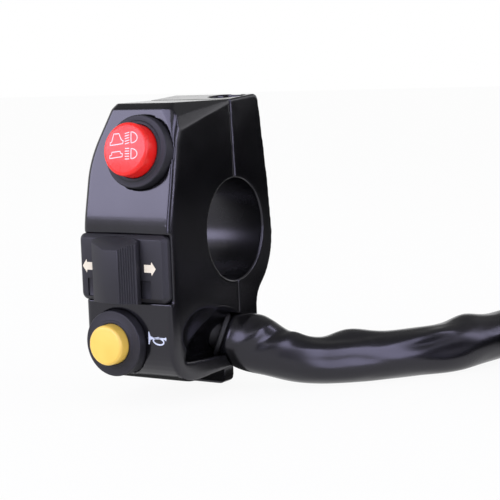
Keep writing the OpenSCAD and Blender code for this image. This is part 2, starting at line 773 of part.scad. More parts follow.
// Tray: holds the carriage, three contact rivets and the ball's three notches
turn_rivets = 3.8;
notch_r = ball_r + pass_gap;
module turn_base() {
    color([0.35, 0.2, 0.12]) at_turn() difference() {
        tray_block(plate_back, 0);
        box_between(tray_x, plate_back - past, tray_front, -tray_z, tray_z);
        box_between(turn_travel + ball_r, plate_back - past, tray_front, 0, ball_z + ball_r + slide_gap);
        for (i = [-1 : 1]) translate([i * turn_travel, tray_front, ball_z]) rotate([90, 0, 0])
            cylinder(r = notch_r, h = tray_front - plate_back + past);
        for (i = [-1 : 1]) translate([i * turn_rivets, tray_front - skin, knob_stem_z]) rotate([-90, 0, 0])
            cylinder(r = pin_r + seat_gap, h = tray_t + past);
    }
}
module turn_terminals() {
    color([0.8, 0.65, 0.3]) at_turn() for (i = [-1 : 1]) translate([i * turn_rivets, 0, knob_stem_z]) {
        translate([0, tray_front, 0]) rotate([90, 0, 0]) cylinder(r = rivet_r, h = rivet_h);
        translate([0, tray_front - skin, 0]) rotate([-90, 0, 0]) cylinder(r = pin_r, h = tray_t + turn_tail);
    }
}

// Grommet: seated in the parting plane, with two ridges outside that hold the sleeve's mouth
wire_way_r = 2.4;
ridge_r = 4.9;
waist_r = 4;
module cable_grommet() {
    color([0.05, 0.05, 0.05]) at_exit() rotate_extrude() polygon([
        [wire_way_r, -grommet_neck - ridge_t], [flange_r, -grommet_neck - ridge_t], [flange_r, -grommet_neck],
        [neck_r, -grommet_neck], [neck_r, 0], [ridge_r, 0], [ridge_r, ridge_t], [waist_r, ridge_t],
        [waist_r, ridge_t + waist_t], [ridge_r, ridge_t + waist_t], [ridge_r, mouth], [wire_way_r, mouth]]);
}

// Sleeve: straight out of the grommet, down to the ground and away to the right, as (x, y, rise)
sleeve_r = sleeve_d / 2;
tie_gap = 0.4;
coil_lift = tie_gap + tie_t;
straight_out = 8;
run_points = [[22, 6, 1], [26, 9.2, 0.2], [30, 13, 0], [34, 17.5, 0], [38, 22.5, 0], [42, 28.5, 0],
    [45.5, 35.5, 0], [48.5, 43, 0.2], [51.5, 51, 0.7], [54.5, 59, coil_lift], [57.5, 67, coil_lift]];
run_path = concat(
    [exit_p + mouth * exit_dir, exit_p + (mouth + straight_out) * exit_dir],
    [for (p = run_points) [p[0], p[1], floor_z + sleeve_r + p[2]]]);
run_end = run_path[len(run_path) - 1];
run_dir = heading(run_path, len(run_path) - 1);
module sleeve_run() {
    color([0.04, 0.04, 0.04]) loft(tube_rings(run_path, sleeve_r, 12));
}

// Coil: one turn that winds inwards, then a tail that bends into the middle
coil_r = 57;
coil_gap = 0.6;
coil_step = 15;
coil_turn = 450;
tail_from = 375;
tail_in = 16;
arc_start = run_end + sleeve_d * run_dir;
coil_c = arc_start + coil_r * [run_dir[1], -run_dir[0], 0];
coil_a = atan2(run_dir[0], -run_dir[1]);
function tail_share(phi) = max(0, phi - tail_from) / (coil_turn - tail_from);
function coil_radius(phi) = coil_r - (sleeve_d + coil_gap) * phi / 360 - tail_in * pow(tail_share(phi), 2);
function coil_point(phi) = coil_c + coil_radius(phi) * [cos(coil_a - phi), sin(coil_a - phi), 0];
coil_arc = [for (phi = [0 : coil_step : coil_turn]) coil_point(phi)];
tail_dir = heading(coil_arc, len(coil_arc) - 1);
tail_p = coil_arc[len(coil_arc) - 1] + sleeve_d * tail_dir;
coil_path = concat([run_end], coil_arc, [tail_p]);
// Least distance between stretches of the coil that are over a sixth of a turn apart
apart = floor(60 / coil_step);
self_gap = min([for (i = [0 : len(coil_arc) - 1], j = [0 : len(coil_arc) - 1])
    if (j - i > apart) norm(coil_arc[i] - coil_arc[j])]) - sleeve_d;
echo("least gap of the coil to itself", self_gap);
module sleeve_coil() {
    color([0.04, 0.04, 0.04]) loft(tube_rings(coil_path, sleeve_r, 6));
}

// Tie round the coil's two neighbouring strands
tie_phi = 0;
tie_head = 4.5;
module tie_outline(r, reach) {
    for (s = [-1, 1]) translate([s * reach, 0]) circle(r = r);
    translate([-reach, -r]) square([2 * reach, 2 * r]);
}
module coil_tie() {
    near = coil_radius(tie_phi + 360);
    away = coil_radius(tie_phi);
    reach = (away - near) / 2;
    inner = sleeve_r + tie_gap;
    color([0.08, 0.08, 0.08]) translate(coil_c) rotate(coil_a - tie_phi)
        translate([(near + away) / 2, 0, 0]) {
            along_y(-tie_w / 2, tie_w / 2) difference() {
                tie_outline(inner + tie_t, reach);
                tie_outline(inner, reach);
            }
            translate([-tie_head / 2, -tie_head / 2, inner]) cube(tie_head);
        }
}

// Wires and connector at the cable's end
lead_rows = [-1.6, 1.6];
lead_columns = [-3.4, 0, 3.4];
lead_in = 4;
module at_tail() {
    translate(tail_p) rotate([0, 90, atan2(tail_dir[1], tail_dir[0])]) children();
}
module at_leads() {
    for (x = lead_rows, y = lead_columns) translate([x, y, 0]) children();
}
module tail_leads() {
    color([0.75, 0.2, 0.15]) at_tail() at_leads() cylinder(r = lead_d / 2, h = lead_l + lead_in);
}
conn_h = 2 * (sleeve_r + coil_lift);
cavity_w = 2.6;
web_t = 1.5;
lead_well = 6;
pin_w = 2;
pin_t = 0.8;
pin_back = 2;
latch_w = 5;
latch_l = 10;
latch_h = 1.6;
latch_peak = 7;
module connector_shell() {
    front = lead_l + conn_l;
    color([0.9, 0.89, 0.85]) at_tail() difference() {
        union() {
            translate([-conn_h / 2, -conn_w / 2, lead_l]) cube([conn_h, conn_w, conn_l]);
            translate([0, latch_w / 2, front - latch_l]) rotate([90, 0, 0]) linear_extrude(latch_w)
                polygon([[skin - conn_h / 2, 0], [-conn_h / 2 - latch_h, latch_peak], [skin - conn_h / 2, latch_l]]);
        }
        at_leads() {
            translate([0, 0, lead_l - skin]) cylinder(r = lead_d / 2 + seat_gap, h = lead_well);
            translate([-cavity_w / 2, -cavity_w / 2, lead_l + lead_well + web_t]) cube([cavity_w, cavity_w, conn_l]);
            translate([-pin_t / 2 - seat_gap, -pin_w / 2 - seat_gap, lead_l])
                cube([pin_t + 2 * seat_gap, pin_w + 2 * seat_gap, conn_l]);
        }
    }
}
module connector_pins() {
    color([0.8, 0.65, 0.3]) at_tail() at_leads()
        translate([-pin_t / 2, -pin_w / 2, lead_l + lead_in])
            cube([pin_t, pin_w, conn_l - lead_in - pin_back]);
}

front_housing();
rear_clamp();
clamp_screws();
dimmer_bezel();
dimmer_cap();
dimmer_plunger();
dimmer_spring();
dimmer_contact();
dimmer_base();
dimmer_terminals();
turn_plate();
turn_knob();
turn_carriage();
turn_wiper();
turn_detent_ball();
turn_detent_spring();
turn_base();
turn_terminals();
horn_bezel();
horn_cap();
horn_plunger();
horn_spring();
horn_contact();
horn_base();
horn_terminals();
cable_grommet();
sleeve_run();
sleeve_coil();
coil_tie();
tail_leads();
connector_shell();
connector_pins();
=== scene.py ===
"""Looks of a handlebar switch cluster.

A moulded two-half housing with a red dimmer button, a sliding turn-signal knob, a yellow horn button
and a sleeved cable. Metres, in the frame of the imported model: X along the bar, Y to the rear, Z up,
with the origin in the middle of the clamp bore.
"""
import json
import logging
import math
from contextlib import contextmanager
from dataclasses import dataclass, field
from enum import Enum
from typing import Callable, Iterator, Sequence

import bmesh
import bpy
from mathutils import Matrix, Vector, noise


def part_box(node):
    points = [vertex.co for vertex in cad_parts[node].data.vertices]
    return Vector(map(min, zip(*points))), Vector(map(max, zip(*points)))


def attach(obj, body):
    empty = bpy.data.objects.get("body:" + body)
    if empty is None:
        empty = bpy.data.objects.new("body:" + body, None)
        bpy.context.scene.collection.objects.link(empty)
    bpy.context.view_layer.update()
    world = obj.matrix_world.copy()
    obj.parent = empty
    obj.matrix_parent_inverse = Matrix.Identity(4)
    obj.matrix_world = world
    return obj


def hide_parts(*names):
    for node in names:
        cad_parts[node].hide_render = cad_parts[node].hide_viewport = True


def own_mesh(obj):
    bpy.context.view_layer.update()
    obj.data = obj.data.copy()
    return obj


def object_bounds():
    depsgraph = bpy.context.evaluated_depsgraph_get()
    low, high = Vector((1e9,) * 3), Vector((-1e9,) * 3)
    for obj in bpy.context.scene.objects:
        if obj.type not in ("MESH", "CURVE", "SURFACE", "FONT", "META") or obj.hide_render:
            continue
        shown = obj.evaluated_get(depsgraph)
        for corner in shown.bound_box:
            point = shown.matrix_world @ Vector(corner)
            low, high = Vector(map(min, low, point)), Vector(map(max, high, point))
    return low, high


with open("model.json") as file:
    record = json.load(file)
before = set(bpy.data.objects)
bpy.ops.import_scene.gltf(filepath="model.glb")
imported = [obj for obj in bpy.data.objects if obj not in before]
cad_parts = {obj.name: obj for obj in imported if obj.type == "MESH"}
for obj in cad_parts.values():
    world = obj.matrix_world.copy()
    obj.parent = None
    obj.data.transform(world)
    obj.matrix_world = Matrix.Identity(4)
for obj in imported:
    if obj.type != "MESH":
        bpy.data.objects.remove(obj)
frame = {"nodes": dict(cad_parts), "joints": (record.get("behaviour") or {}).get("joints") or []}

CAD_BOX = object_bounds()
MM = 0.001
PAINT_FLATNESS = 0.4
PAINT_ROUNDNESS = 1
WIRE_ROUNDNESS = 6
MOST_TRIANGLES = 180_000
DUST_COLOUR = (0.35, 0.34, 0.33)
LOG = logging.getLogger("switch_cluster")

Colour = tuple[float, float, float]
Point2 = tuple[float, float]
Point3 = tuple[float, float, float]


class Body(Enum):
    """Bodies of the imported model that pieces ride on."""

    HOUSING = "housing"
    DIMMER = "dimmer_button"
    SLIDER = "turn_slider"
    HORN = "horn_button"


class Bench:
    """Modelling steps that many pieces share, done with operators as by hand."""

    @staticmethod
    def clear() -> None:
        """Leave edit mode and deselect every object."""
        if bpy.context.object and bpy.context.object.mode != "OBJECT":
            bpy.ops.object.mode_set(mode="OBJECT")
        bpy.ops.object.select_all(action="DESELECT")

    @staticmethod
    def take(piece: bpy.types.Object) -> None:
        """Make a piece the only selected one, and the active one."""
        Bench.clear()
        piece.select_set(True)
        bpy.context.view_layer.objects.active = piece

    @staticmethod
    @contextmanager
    def edit(piece: bpy.types.Object, mode: str = "FACE") -> Iterator[None]:
        """Open a piece in edit mode with nothing selected, and close it again.

        Args:
            piece: Mesh object to edit.
            mode: Select mode, one of VERT, EDGE and FACE.
        """
        Bench.take(piece)
        bpy.ops.object.mode_set(mode="EDIT")
        bpy.ops.mesh.select_mode(type=mode)
        bpy.ops.mesh.select_all(action="DESELECT")
        yield
        bpy.ops.object.mode_set(mode="OBJECT")

    @staticmethod
    def pick_edges(piece: bpy.types.Object, test: Callable[[bmesh.types.BMEdge], bool]) -> None:
        """Select the edges that pass a test, in edit mode."""
        mesh = bmesh.from_edit_mesh(piece.data)
        for edge in mesh.edges:
            edge.select_set(test(edge))
        bmesh.update_edit_mesh(piece.data)

    @staticmethod
    def weld(piece: bpy.types.Object, distance: float = 1e-3 * MM) -> None:
        """Merge double points and turn all faces outwards."""
        with Bench.edit(piece, "VERT"):
            bpy.ops.mesh.select_all(action="SELECT")
            bpy.ops.mesh.remove_doubles(threshold=distance)
            bpy.ops.mesh.normals_make_consistent(inside=False)

    @staticmethod
    def apply(piece: bpy.types.Object, kind: str, **settings: object) -> None:
        """Add a modifier with its settings and apply it.

        Args:
            piece: Mesh object that gets the modifier.
            kind: Modifier type, such as BEVEL.
            settings: Values of the modifier's own fields.
        """
        Bench.take(piece)
        modifier = piece.modifiers.new(kind.lower(), kind)
        for key, value in settings.items():
            setattr(modifier, key, value)
        bpy.ops.object.modifier_apply(modifier=modifier.name)

    @staticmethod
    def cut(piece: bpy.types.Object, tool: bpy.types.Object, operation: str = "DIFFERENCE") -> None:
        """Combine a piece with a tool body, which is then removed."""
        Bench.apply(piece, "BOOLEAN", object=tool, operation=operation, solver="EXACT")
        bpy.data.objects.remove(tool)

    @staticmethod
    def block(name: str, low: Vector, high: Vector) -> bpy.types.Object:
        """Add a cube primitive and stretch it between two corners."""
        Bench.clear()
        bpy.ops.mesh.primitive_cube_add(size=1, location=(low + high) / 2)
        piece = bpy.context.object
        piece.name = name
        piece.scale = high - low
        bpy.ops.object.transform_apply(location=True, rotation=True, scale=True)
        return piece

    @staticmethod
    def add(name: str, data: bpy.types.ID) -> bpy.types.Object:
        """Put an object with the given mesh, curve, lamp or camera data into the scene."""
        piece = bpy.data.objects.new(name, data)
        bpy.context.scene.collection.objects.link(piece)
        return piece

    @staticmethod
    def outline(name: str, points: Sequence[Point3], closed: bool) -> bpy.types.Object:
        """Draw a line of points as a mesh of edges, as the start of an extrusion or a spin."""
        mesh = bpy.data.meshes.new(name)
        edges = [(i, i + 1) for i in range(len(points) - 1)]
        if closed:
            edges.append((len(points) - 1, 0))
        mesh.from_pydata([Vector(p) * MM for p in points], edges, [])
        return Bench.add(name, mesh)

    @staticmethod
    def prism(name: str, points: Sequence[Point3], along: Vector) -> bpy.types.Object:
        """Fill a closed outline and extrude it.

        Args:
            name: Name of the new piece.
            points: Outline in millimetres.
            along: Extrusion in metres.

        Returns:
            The closed solid.
        """
        piece = Bench.outline(name, points, closed=True)
        with Bench.edit(piece, "EDGE"):
            bpy.ops.mesh.select_all(action="SELECT")
            bpy.ops.mesh.edge_face_add()
            bpy.ops.mesh.extrude_region_move(TRANSFORM_OT_translate={"value": along})
        Bench.weld(piece)
        return piece

    @staticmethod
    def turned(name: str, profile: Sequence[Point2], closed: bool, steps: int = 96) -> bpy.types.Object:
        """Spin a profile about the Z axis.

        Args:
            name: Name of the new piece.
            profile: Points as radius and height, in millimetres.
            closed: True for a ring, False for a solid whose profile starts and ends on the axis.
            steps: Number of segments round the axis.

        Returns:
            The turned solid.
        """
        piece = Bench.outline(name, [(r, 0, z) for r, z in profile], closed)
        with Bench.edit(piece, "VERT"):
            bpy.ops.mesh.select_all(action="SELECT")
            bpy.ops.mesh.spin(steps=steps, angle=math.tau, center=(0, 0, 0), axis=(0, 0, 1))
        Bench.weld(piece)
        return piece

    @staticmethod
    def dense(points: Sequence[Point2], closed: bool, step: float = 0.4) -> list[Point2]:
        """Fill in points along a line, so that it can follow a curved face.

        Args:
            points: Line in millimetres.
            closed: True where the line ends at its start.
            step: Widest gap between two points.

        Returns:
            The line with more points.
        """
        filled: list[Point2] = []
        ends = [*points[1:], points[0]] if closed else points[1:]
        for (x0, y0), (x1, y1) in zip(points, ends):
            count = max(1, math.ceil(math.hypot(x1 - x0, y1 - y0) / step))
            filled += [(x0 + (x1 - x0) * i / count, y0 + (y1 - y0) * i / count) for i in range(count)]
        return filled if closed else [*filled, points[-1]]

    @staticmethod
    def tube(name: str, points: Sequence[Vector], width: float, roundness: int,
             closed: bool) -> bpy.types.Object:
        """Draw a line with a round brush and make it a mesh.

        Args:
            name: Name of the new piece.
            points: Its middle line in millimetres.
            width: Its diameter in millimetres.
            roundness: How finely its section is rounded.
            closed: True where the line ends at its start.

        Returns:
            The line as a mesh.
        """
        data = bpy.data.curves.new(name, "CURVE")
        data.dimensions = "3D"
        data.bevel_depth = width / 2 * MM
        data.bevel_resolution = roundness
        data.use_fill_caps = True
        spline = data.splines.new("POLY")
        spline.points.add(len(points) - 1)
        for dot, place in zip(spline.points, points):
            dot.co = (*(place * MM), 1)
        spline.use_cyclic_u = closed
        Bench.take(Bench.add(name, data))
        bpy.ops.object.convert(target="MESH")
        return bpy.context.object

    @staticmethod
    def stroke(name: str, points: Sequence[Point2], width: float, closed: bool = False) -> bpy.types.Object:
        """Draw a line on the XY plane and flatten it to a film of paint.

        Args:
            name: Name of the new piece.
            points: Line in millimetres.
            width: Width of the line in millimetres.
            closed: True where the line ends at its start.

        Returns:
            The line as a mesh.
        """
        line = [Vector((x, y, 0)) for x, y in Bench.dense(points, closed)]
        piece = Bench.tube(name, line, width, PAINT_ROUNDNESS, closed)
        piece.scale.z = PAINT_FLATNESS
        bpy.ops.object.transform_apply(location=True, rotation=True, scale=True)
        return piece

    @staticmethod
    def rod(name: str, points: Sequence[Vector], width: float) -> bpy.types.Object:
        """Draw a round rod through points.

        Args:
            name: Name of the new piece.
            points: Its middle line in millimetres.
            width: Its diameter in millimetres.

        Returns:
            The rod as a closed mesh.
        """
        piece = Bench.tube(name, points, width, WIRE_ROUNDNESS, closed=False)
        Bench.weld(piece)
        Bench.smooth(piece, 40)
        return piece

    @staticmethod
    def join(name: str, pieces: Sequence[bpy.types.Object]) -> bpy.types.Object:
        """Join pieces into the first one under a new name."""
        Bench.take(pieces[0])
        for piece in pieces:
            piece.select_set(True)
        bpy.ops.object.join()
        joined = bpy.context.object
        joined.name = name
        joined.data.name = name
        return joined

    @staticmethod
    def place(piece: bpy.types.Object, matrix: Matrix) -> None:
        """Set a piece down in its place, with the place in its mesh."""
        Bench.take(piece)
        piece.matrix_world = matrix
        bpy.ops.object.transform_apply(location=True, rotation=True, scale=True)

    @staticmethod
    def smooth(piece: bpy.types.Object, degrees: float) -> None:
        """Shade a piece smooth, with edges sharper than an angle left crisp."""
        Bench.take(piece)
        bpy.ops.object.shade_smooth_by_angle(angle=math.radians(degrees))

    @staticmethod
    def copy_of(node: str, name: str) -> bpy.types.Object:
        """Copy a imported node's mesh into a new piece with its points merged."""
        mesh = frame["nodes"][node].data.copy()
        mesh.name = name
        mesh.materials.clear()
        piece = Bench.add(name, mesh)
        with Bench.edit(piece, "VERT"):
            bpy.ops.mesh.select_all(action="SELECT")
            bpy.ops.mesh.remove_doubles(threshold=1e-3 * MM)
        return piece

    @staticmethod
    def moulded(node: str, name: str, grid: float, rounds: int,
                cutter: bpy.types.Object | None = None) -> bpy.types.Object:
        """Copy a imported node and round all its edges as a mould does.

        Args:
            node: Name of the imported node.
            name: Name of the new piece.
            grid: Size of the new mesh's faces in millimetres.
            rounds: Passes of smoothing.
            cutter: Tool body that is cut away first, if any.

        Returns:
            The rounded copy.
        """
        piece = Bench.copy_of(node, name)
        if cutter:
            Bench.cut(piece, cutter)
        Bench.apply(piece, "REMESH", mode="VOXEL", voxel_size=grid * MM, adaptivity=0)
        Bench.apply(piece, "SMOOTH", factor=0.5, iterations=rounds)
        triangles = 2 * len(piece.data.polygons)
        if triangles > MOST_TRIANGLES:
            Bench.apply(piece, "DECIMATE", ratio=MOST_TRIANGLES / triangles)
        Bench.take(piece)
        bpy.ops.object.shade_smooth()
        return piece


class Board:
    """Shorthand for placing and wiring nodes of one tree."""

    def __init__(self, tree: bpy.types.NodeTree) -> None:
        """Keep the tree."""
        self.tree = tree

    def put(self, kind: str, **settings: object) -> bpy.types.Node:
        """Place a node, with values for its fields and for its inputs by name.

        Args:
            kind: Node type without its ShaderNode prefix.
            settings: Field values, or input values as in_name.

        Returns:
            The node.
        """
        node = self.tree.nodes.new("ShaderNode" + kind if not kind.startswith("Node") else kind)
        for key, value in settings.items():
            if key.startswith("in_"):
                node.inputs[key[3:].replace("_", " ")].default_value = value
            else:
                setattr(node, key, value)
        return node

    def wire(self, source: bpy.types.NodeSocket, target: bpy.types.NodeSocket) -> None:
        """Link two sockets."""
        self.tree.links.new(source, target)

    def math(self, operation: str, first: object, second: object = None) -> bpy.types.NodeSocket:
        """Place a Math node whose operands are sockets or numbers, and return its result."""
        node = self.put("Math", operation=operation)
        for socket, value in zip(node.inputs, (first, second)):
            if isinstance(value, bpy.types.NodeSocket):
                self.wire(value, socket)
            elif value is not None:
                socket.default_value = value
        return node.outputs[0]


class Effects:
    """Shader node groups that several finishes share, each built once."""

    built: dict[str, bpy.types.NodeTree] = {}

    @classmethod
    def group(cls, name: str, inputs: dict[str, str], outputs: Sequence[str],
              fill: Callable[[Board, bpy.types.Node, bpy.types.Node], None]) -> bpy.types.NodeTree:
        """Build a group on first use.

        Args:
            name: Name of the group.
            inputs: Socket type of each input by name.
            outputs: Names of the value outputs.
            fill: Function that wires the inside.

        Returns:
            The group's tree.
        """
        if name not in cls.built:
            tree = bpy.data.node_groups.new(name, "ShaderNodeTree")
            for key, kind in inputs.items():
                tree.interface.new_socket(key, in_out="INPUT", socket_type=kind)
            for key in outputs:
                tree.interface.new_socket(key, in_out="OUTPUT", socket_type="NodeSocketFloat")
            board = Board(tree)
            fill(board, board.put("NodeGroupInput"), board.put("NodeGroupOutput"))
            cls.built[name] = tree
        return cls.built[name]

    @classmethod
    def mould_grain(cls) -> bpy.types.NodeTree:
        """Fine grain of a moulded surface, with slow cloudy changes of gloss."""
        def fill(board: Board, inside: bpy.types.Node, outside: bpy.types.Node) -> None:
            fine = board.put("TexNoise", in_Detail=3.0, in_Roughness=0.6)
            slow = board.put("TexNoise", in_Detail=4.0, in_Roughness=0.55)
            for texture, scale in ((fine, "Grain Scale"), (slow, "Cloud Scale")):
                board.wire(inside.outputs["Coordinates"], texture.inputs["Vector"])
                board.wire(inside.outputs[scale], texture.inputs["Scale"])
            clouds = board.put("MapRange", in_From_Min=0.3, in_From_Max=0.7)
            board.wire(slow.outputs["Fac"], clouds.inputs["Value"])
            board.wire(fine.outputs["Fac"], outside.inputs["Height"])
            board.wire(clouds.outputs["Result"], outside.inputs["Clouds"])

        sockets = {"Coordinates": "NodeSocketVector", "Grain Scale": "NodeSocketFloat",
                   "Cloud Scale": "NodeSocketFloat"}
        return cls.group("mould_grain", sockets, ("Height", "Clouds"), fill)

    @classmethod
    def dust(cls) -> bpy.types.NodeTree:
        """Faint dust that settles on faces that look upwards, in specks."""
        def fill(board: Board, inside: bpy.types.Node, outside: bpy.types.Node) -> None:
            specks = board.put("TexNoise", in_Detail=2.0)
            board.wire(inside.outputs["Coordinates"], specks.inputs["Vector"])
            board.wire(inside.outputs["Speck Scale"], specks.inputs["Scale"])
            spread = board.put("MapRange", in_From_Min=0.55, in_From_Max=0.8)
            board.wire(specks.outputs["Fac"], spread.inputs["Value"])
            normal = board.put("SeparateXYZ")
            board.wire(board.put("NewGeometry").outputs["Normal"], normal.inputs[0])
            upwards = board.math("MAXIMUM", normal.outputs["Z"], 0.0)
            amount = board.math("MULTIPLY", upwards, spread.outputs["Result"])
            board.wire(board.math("MULTIPLY", amount, inside.outputs["Amount"]), outside.inputs["Mask"])

        sockets = {"Coordinates": "NodeSocketVector", "Speck Scale": "NodeSocketFloat",
                   "Amount": "NodeSocketFloat"}
        return cls.group("settled_dust", sockets, ("Mask",), fill)


@dataclass(frozen=True)
class Finish:
    """Surface of one material: colour with cloudy shades, gloss that varies, grain and a little dust."""

    name: str
    colour: Colour
    shade: Colour
    gloss: tuple[float, float]
    grain_pitch: float = 0.25
    grain_depth: float = 0.01
    cloud_pitch: float = 9.0
    metallic: float = 0.0
    specular: float = 0.5
    # Tint of every reflection: a painted cool colour that stands for the bluish light.
    painted_sheen_tint: Colour = (1.0, 1.0, 1.0)
    dust: float = 0.06
    bore: float = 0.0
    bore_dullness: float = 0.1

    def material(self) -> bpy.types.Material:
        """Build the material, or return it if it exists.

        Returns:
            The node-based material.
        """
        if self.name in bpy.data.materials:
            return bpy.data.materials[self.name]
        material = bpy.data.materials.new(self.name)
        material.use_nodes = True
        board = Board(material.node_tree)
        shader = material.node_tree.nodes["Principled BSDF"]
        shader.inputs["Metallic"].default_value = self.metallic
        shader.inputs["Specular IOR Level"].default_value = self.specular
        shader.inputs["Specular Tint"].default_value = (*self.painted_sheen_tint, 1)
        place = board.put("TexCoord").outputs["Object"]
        grain = board.put("Group", node_tree=Effects.mould_grain())
        grain.inputs["Grain Scale"].default_value = 1 / (self.grain_pitch * MM)
        grain.inputs["Cloud Scale"].default_value = 1 / (self.cloud_pitch * MM)
        board.wire(place, grain.inputs["Coordinates"])
        settled = board.put("Group", node_tree=Effects.dust(), in_Amount=self.dust)
        settled.inputs["Speck Scale"].default_value = 1 / (2 * self.grain_pitch * MM)
        board.wire(place, settled.inputs["Coordinates"])
        self.tint(board, shader, grain, settled)
        gloss = board.put("MapRange", in_To_Min=self.gloss[0], in_To_Max=self.gloss[1])
        board.wire(grain.outputs["Clouds"], gloss.inputs["Value"])
        roughness = gloss.outputs["Result"]
        if self.bore:
            roughness = board.math("ADD", roughness, self.inside_bore(board, place))
        board.wire(roughness, shader.inputs["Roughness"])
        bump = board.put("Bump", in_Strength=1.0, in_Distance=self.grain_depth * MM)
        board.wire(grain.outputs["Height"], bump.inputs["Height"])
        board.wire(bump.outputs["Normal"], shader.inputs["Normal"])
        return material

    def inside_bore(self, board: Board, place: bpy.types.NodeSocket) -> bpy.types.NodeSocket:
        """Extra roughness on the wall of the bore round the X axis, and none elsewhere.

        Args:
            board: Board of the material.
            place: Object coordinates.

        Returns:
            The extra roughness.
        """
        axes = board.put("SeparateXYZ")
        board.wire(place, axes.inputs[0])
        across = board.math("POWER", axes.outputs["Y"], 2.0)
        over = board.math("POWER", axes.outputs["Z"], 2.0)
        inside = board.math("LESS_THAN", board.math("ADD", across, over), (self.bore * MM) ** 2)
        return board.math("MULTIPLY", inside, self.bore_dullness)

    def tint(self, board: Board, shader: bpy.types.Node, grain: bpy.types.Node,
             settled: bpy.types.Node) -> None:
        """Wire the base colour: two shades mixed by the clouds, and dust over them.

        Args:
            board: Board of the material.
            shader: Its Principled node.
            grain: Its grain group.
            settled: Its dust group.
        """
        shades = board.put("Mix", data_type="RGBA")
        shades.inputs[6].default_value = (*self.colour, 1)
        shades.inputs[7].default_value = (*self.shade, 1)
        board.wire(grain.outputs["Clouds"], shades.inputs[0])
        dusty = board.put("Mix", data_type="RGBA")
        dusty.inputs[7].default_value = (*DUST_COLOUR, 1)
        board.wire(settled.outputs["Mask"], dusty.inputs[0])
        board.wire(shades.outputs[2], dusty.inputs[6])
        board.wire(dusty.outputs[2], shader.inputs["Base Color"])


def wire_finish(colour_name: str, colour: Colour, shade: Colour) -> Finish:
    """Finish of a wire's coloured cover."""
    return Finish(colour_name + "_wire_vinyl", colour, shade, (0.3, 0.4), grain_depth=0.004)


class Finishes:
    """All finishes of the cluster."""

    # Cool tint painted into the reflections of the dark plastics and the sleeve, standing for the bluish
    # light.
    PAINTED_COOL_SHEEN = (0.9, 0.88, 1.0)
    HOUSING = Finish("glossy_black_shell", (0.0028, 0.0028, 0.0034), (0.004, 0.004, 0.0048), (0.14, 0.19),
                     grain_pitch=0.5, grain_depth=0.003, specular=0.54, painted_sheen_tint=PAINTED_COOL_SHEEN, dust=0.015, bore=11.35)
    RING = Finish("matte_dark_ring", (0.008, 0.008, 0.0095), (0.011, 0.011, 0.0125), (0.5, 0.58),
                  grain_pitch=0.2, grain_depth=0.008, specular=0.4, painted_sheen_tint=PAINTED_COOL_SHEEN, dust=0.02)
    RED = Finish("red_button_plastic", (0.88, 0.012, 0.009), (0.94, 0.016, 0.012), (0.23, 0.29),
                 grain_pitch=0.3, grain_depth=0.003, specular=0.42, dust=0.0)
    YELLOW = Finish("yellow_button_plastic", (0.95, 0.62, 0.105), (1.0, 0.67, 0.13), (0.34, 0.4),
                    grain_pitch=0.3, grain_depth=0.003, specular=0.42, dust=0.0)
    SLIDE = Finish("matte_slide_plastic", (0.008, 0.008, 0.0092), (0.011, 0.011, 0.0125), (0.48, 0.56),
                   grain_pitch=0.18, grain_depth=0.008, specular=0.44, painted_sheen_tint=PAINTED_COOL_SHEEN, dust=0.03)
    STEEL = Finish("zinc_steel", (0.58, 0.57, 0.55), (0.5, 0.49, 0.46), (0.28, 0.4),
                   metallic=1.0, grain_pitch=0.4, grain_depth=0.004, cloud_pitch=2.5)
    BRASS = Finish("contact_brass", (0.72, 0.5, 0.2), (0.6, 0.4, 0.16), (0.25, 0.38),
                   metallic=1.0, grain_pitch=0.4, grain_depth=0.003, cloud_pitch=2.5)
    NATURAL = Finish("natural_nylon", (0.72, 0.7, 0.63), (0.66, 0.64, 0.57), (0.35, 0.45),
                     grain_pitch=0.3, grain_depth=0.004)
    BAKELITE = Finish("brown_base", (0.11, 0.05, 0.025), (0.08, 0.036, 0.018), (0.4, 0.5),
                      grain_pitch=0.3, grain_depth=0.005)
    RUBBER = Finish("matte_rubber", (0.006, 0.006, 0.006), (0.009, 0.009, 0.009), (0.6, 0.7),
                    grain_pitch=0.25, grain_depth=0.01)
    VINYL = Finish("soft_black_vinyl", (0.004, 0.004, 0.0045), (0.006, 0.006, 0.0068), (0.21, 0.28),
                   grain_pitch=0.9, grain_depth=0.008, cloud_pitch=14.0, specular=0.54,
                   painted_sheen_tint=PAINTED_COOL_SHEEN, dust=0.02)
    NYLON = Finish("tie_nylon", (0.018, 0.018, 0.018), (0.026, 0.026, 0.026), (0.4, 0.5),
                   grain_pitch=0.3, grain_depth=0.006)
    WIRE_RED = wire_finish("red", (0.42, 0.02, 0.016), (0.36, 0.016, 0.014))
    WIRE_BLUE = wire_finish("blue", (0.02, 0.06, 0.3), (0.016, 0.05, 0.25))
    WIRE_GREEN = wire_finish("green", (0.02, 0.2, 0.05), (0.016, 0.17, 0.04))
    WIRE_WHITE = wire_finish("white", (0.72, 0.71, 0.67), (0.66, 0.65, 0.6))
    WIRE_BROWN = wire_finish("brown", (0.13, 0.05, 0.025), (0.11, 0.04, 0.02))
    WIRE_GREY = wire_finish("grey", (0.2, 0.2, 0.21), (0.17, 0.17, 0.18))
    CREAM_PAINT = Finish("cream_paint", (0.84, 0.78, 0.62), (0.78, 0.71, 0.55), (0.45, 0.55),
                         grain_pitch=0.2, grain_depth=0.006, cloud_pitch=0.8, dust=0.0)
    PINK_PAINT = Finish("pale_paint", (0.92, 0.74, 0.76), (0.95, 0.8, 0.82), (0.4, 0.5),
                        grain_pitch=0.2, grain_depth=0.004, dust=0.0)
    BLUE_PAINT = Finish("bluish_paint", (0.62, 0.68, 0.84), (0.7, 0.76, 0.9), (0.4, 0.5),
                        grain_pitch=0.2, grain_depth=0.004, dust=0.0)


def dress(piece: bpy.types.Object, finish: Finish) -> None:
    """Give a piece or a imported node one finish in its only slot."""
    piece.data.materials.clear()
    piece.data.materials.append(finish.material())


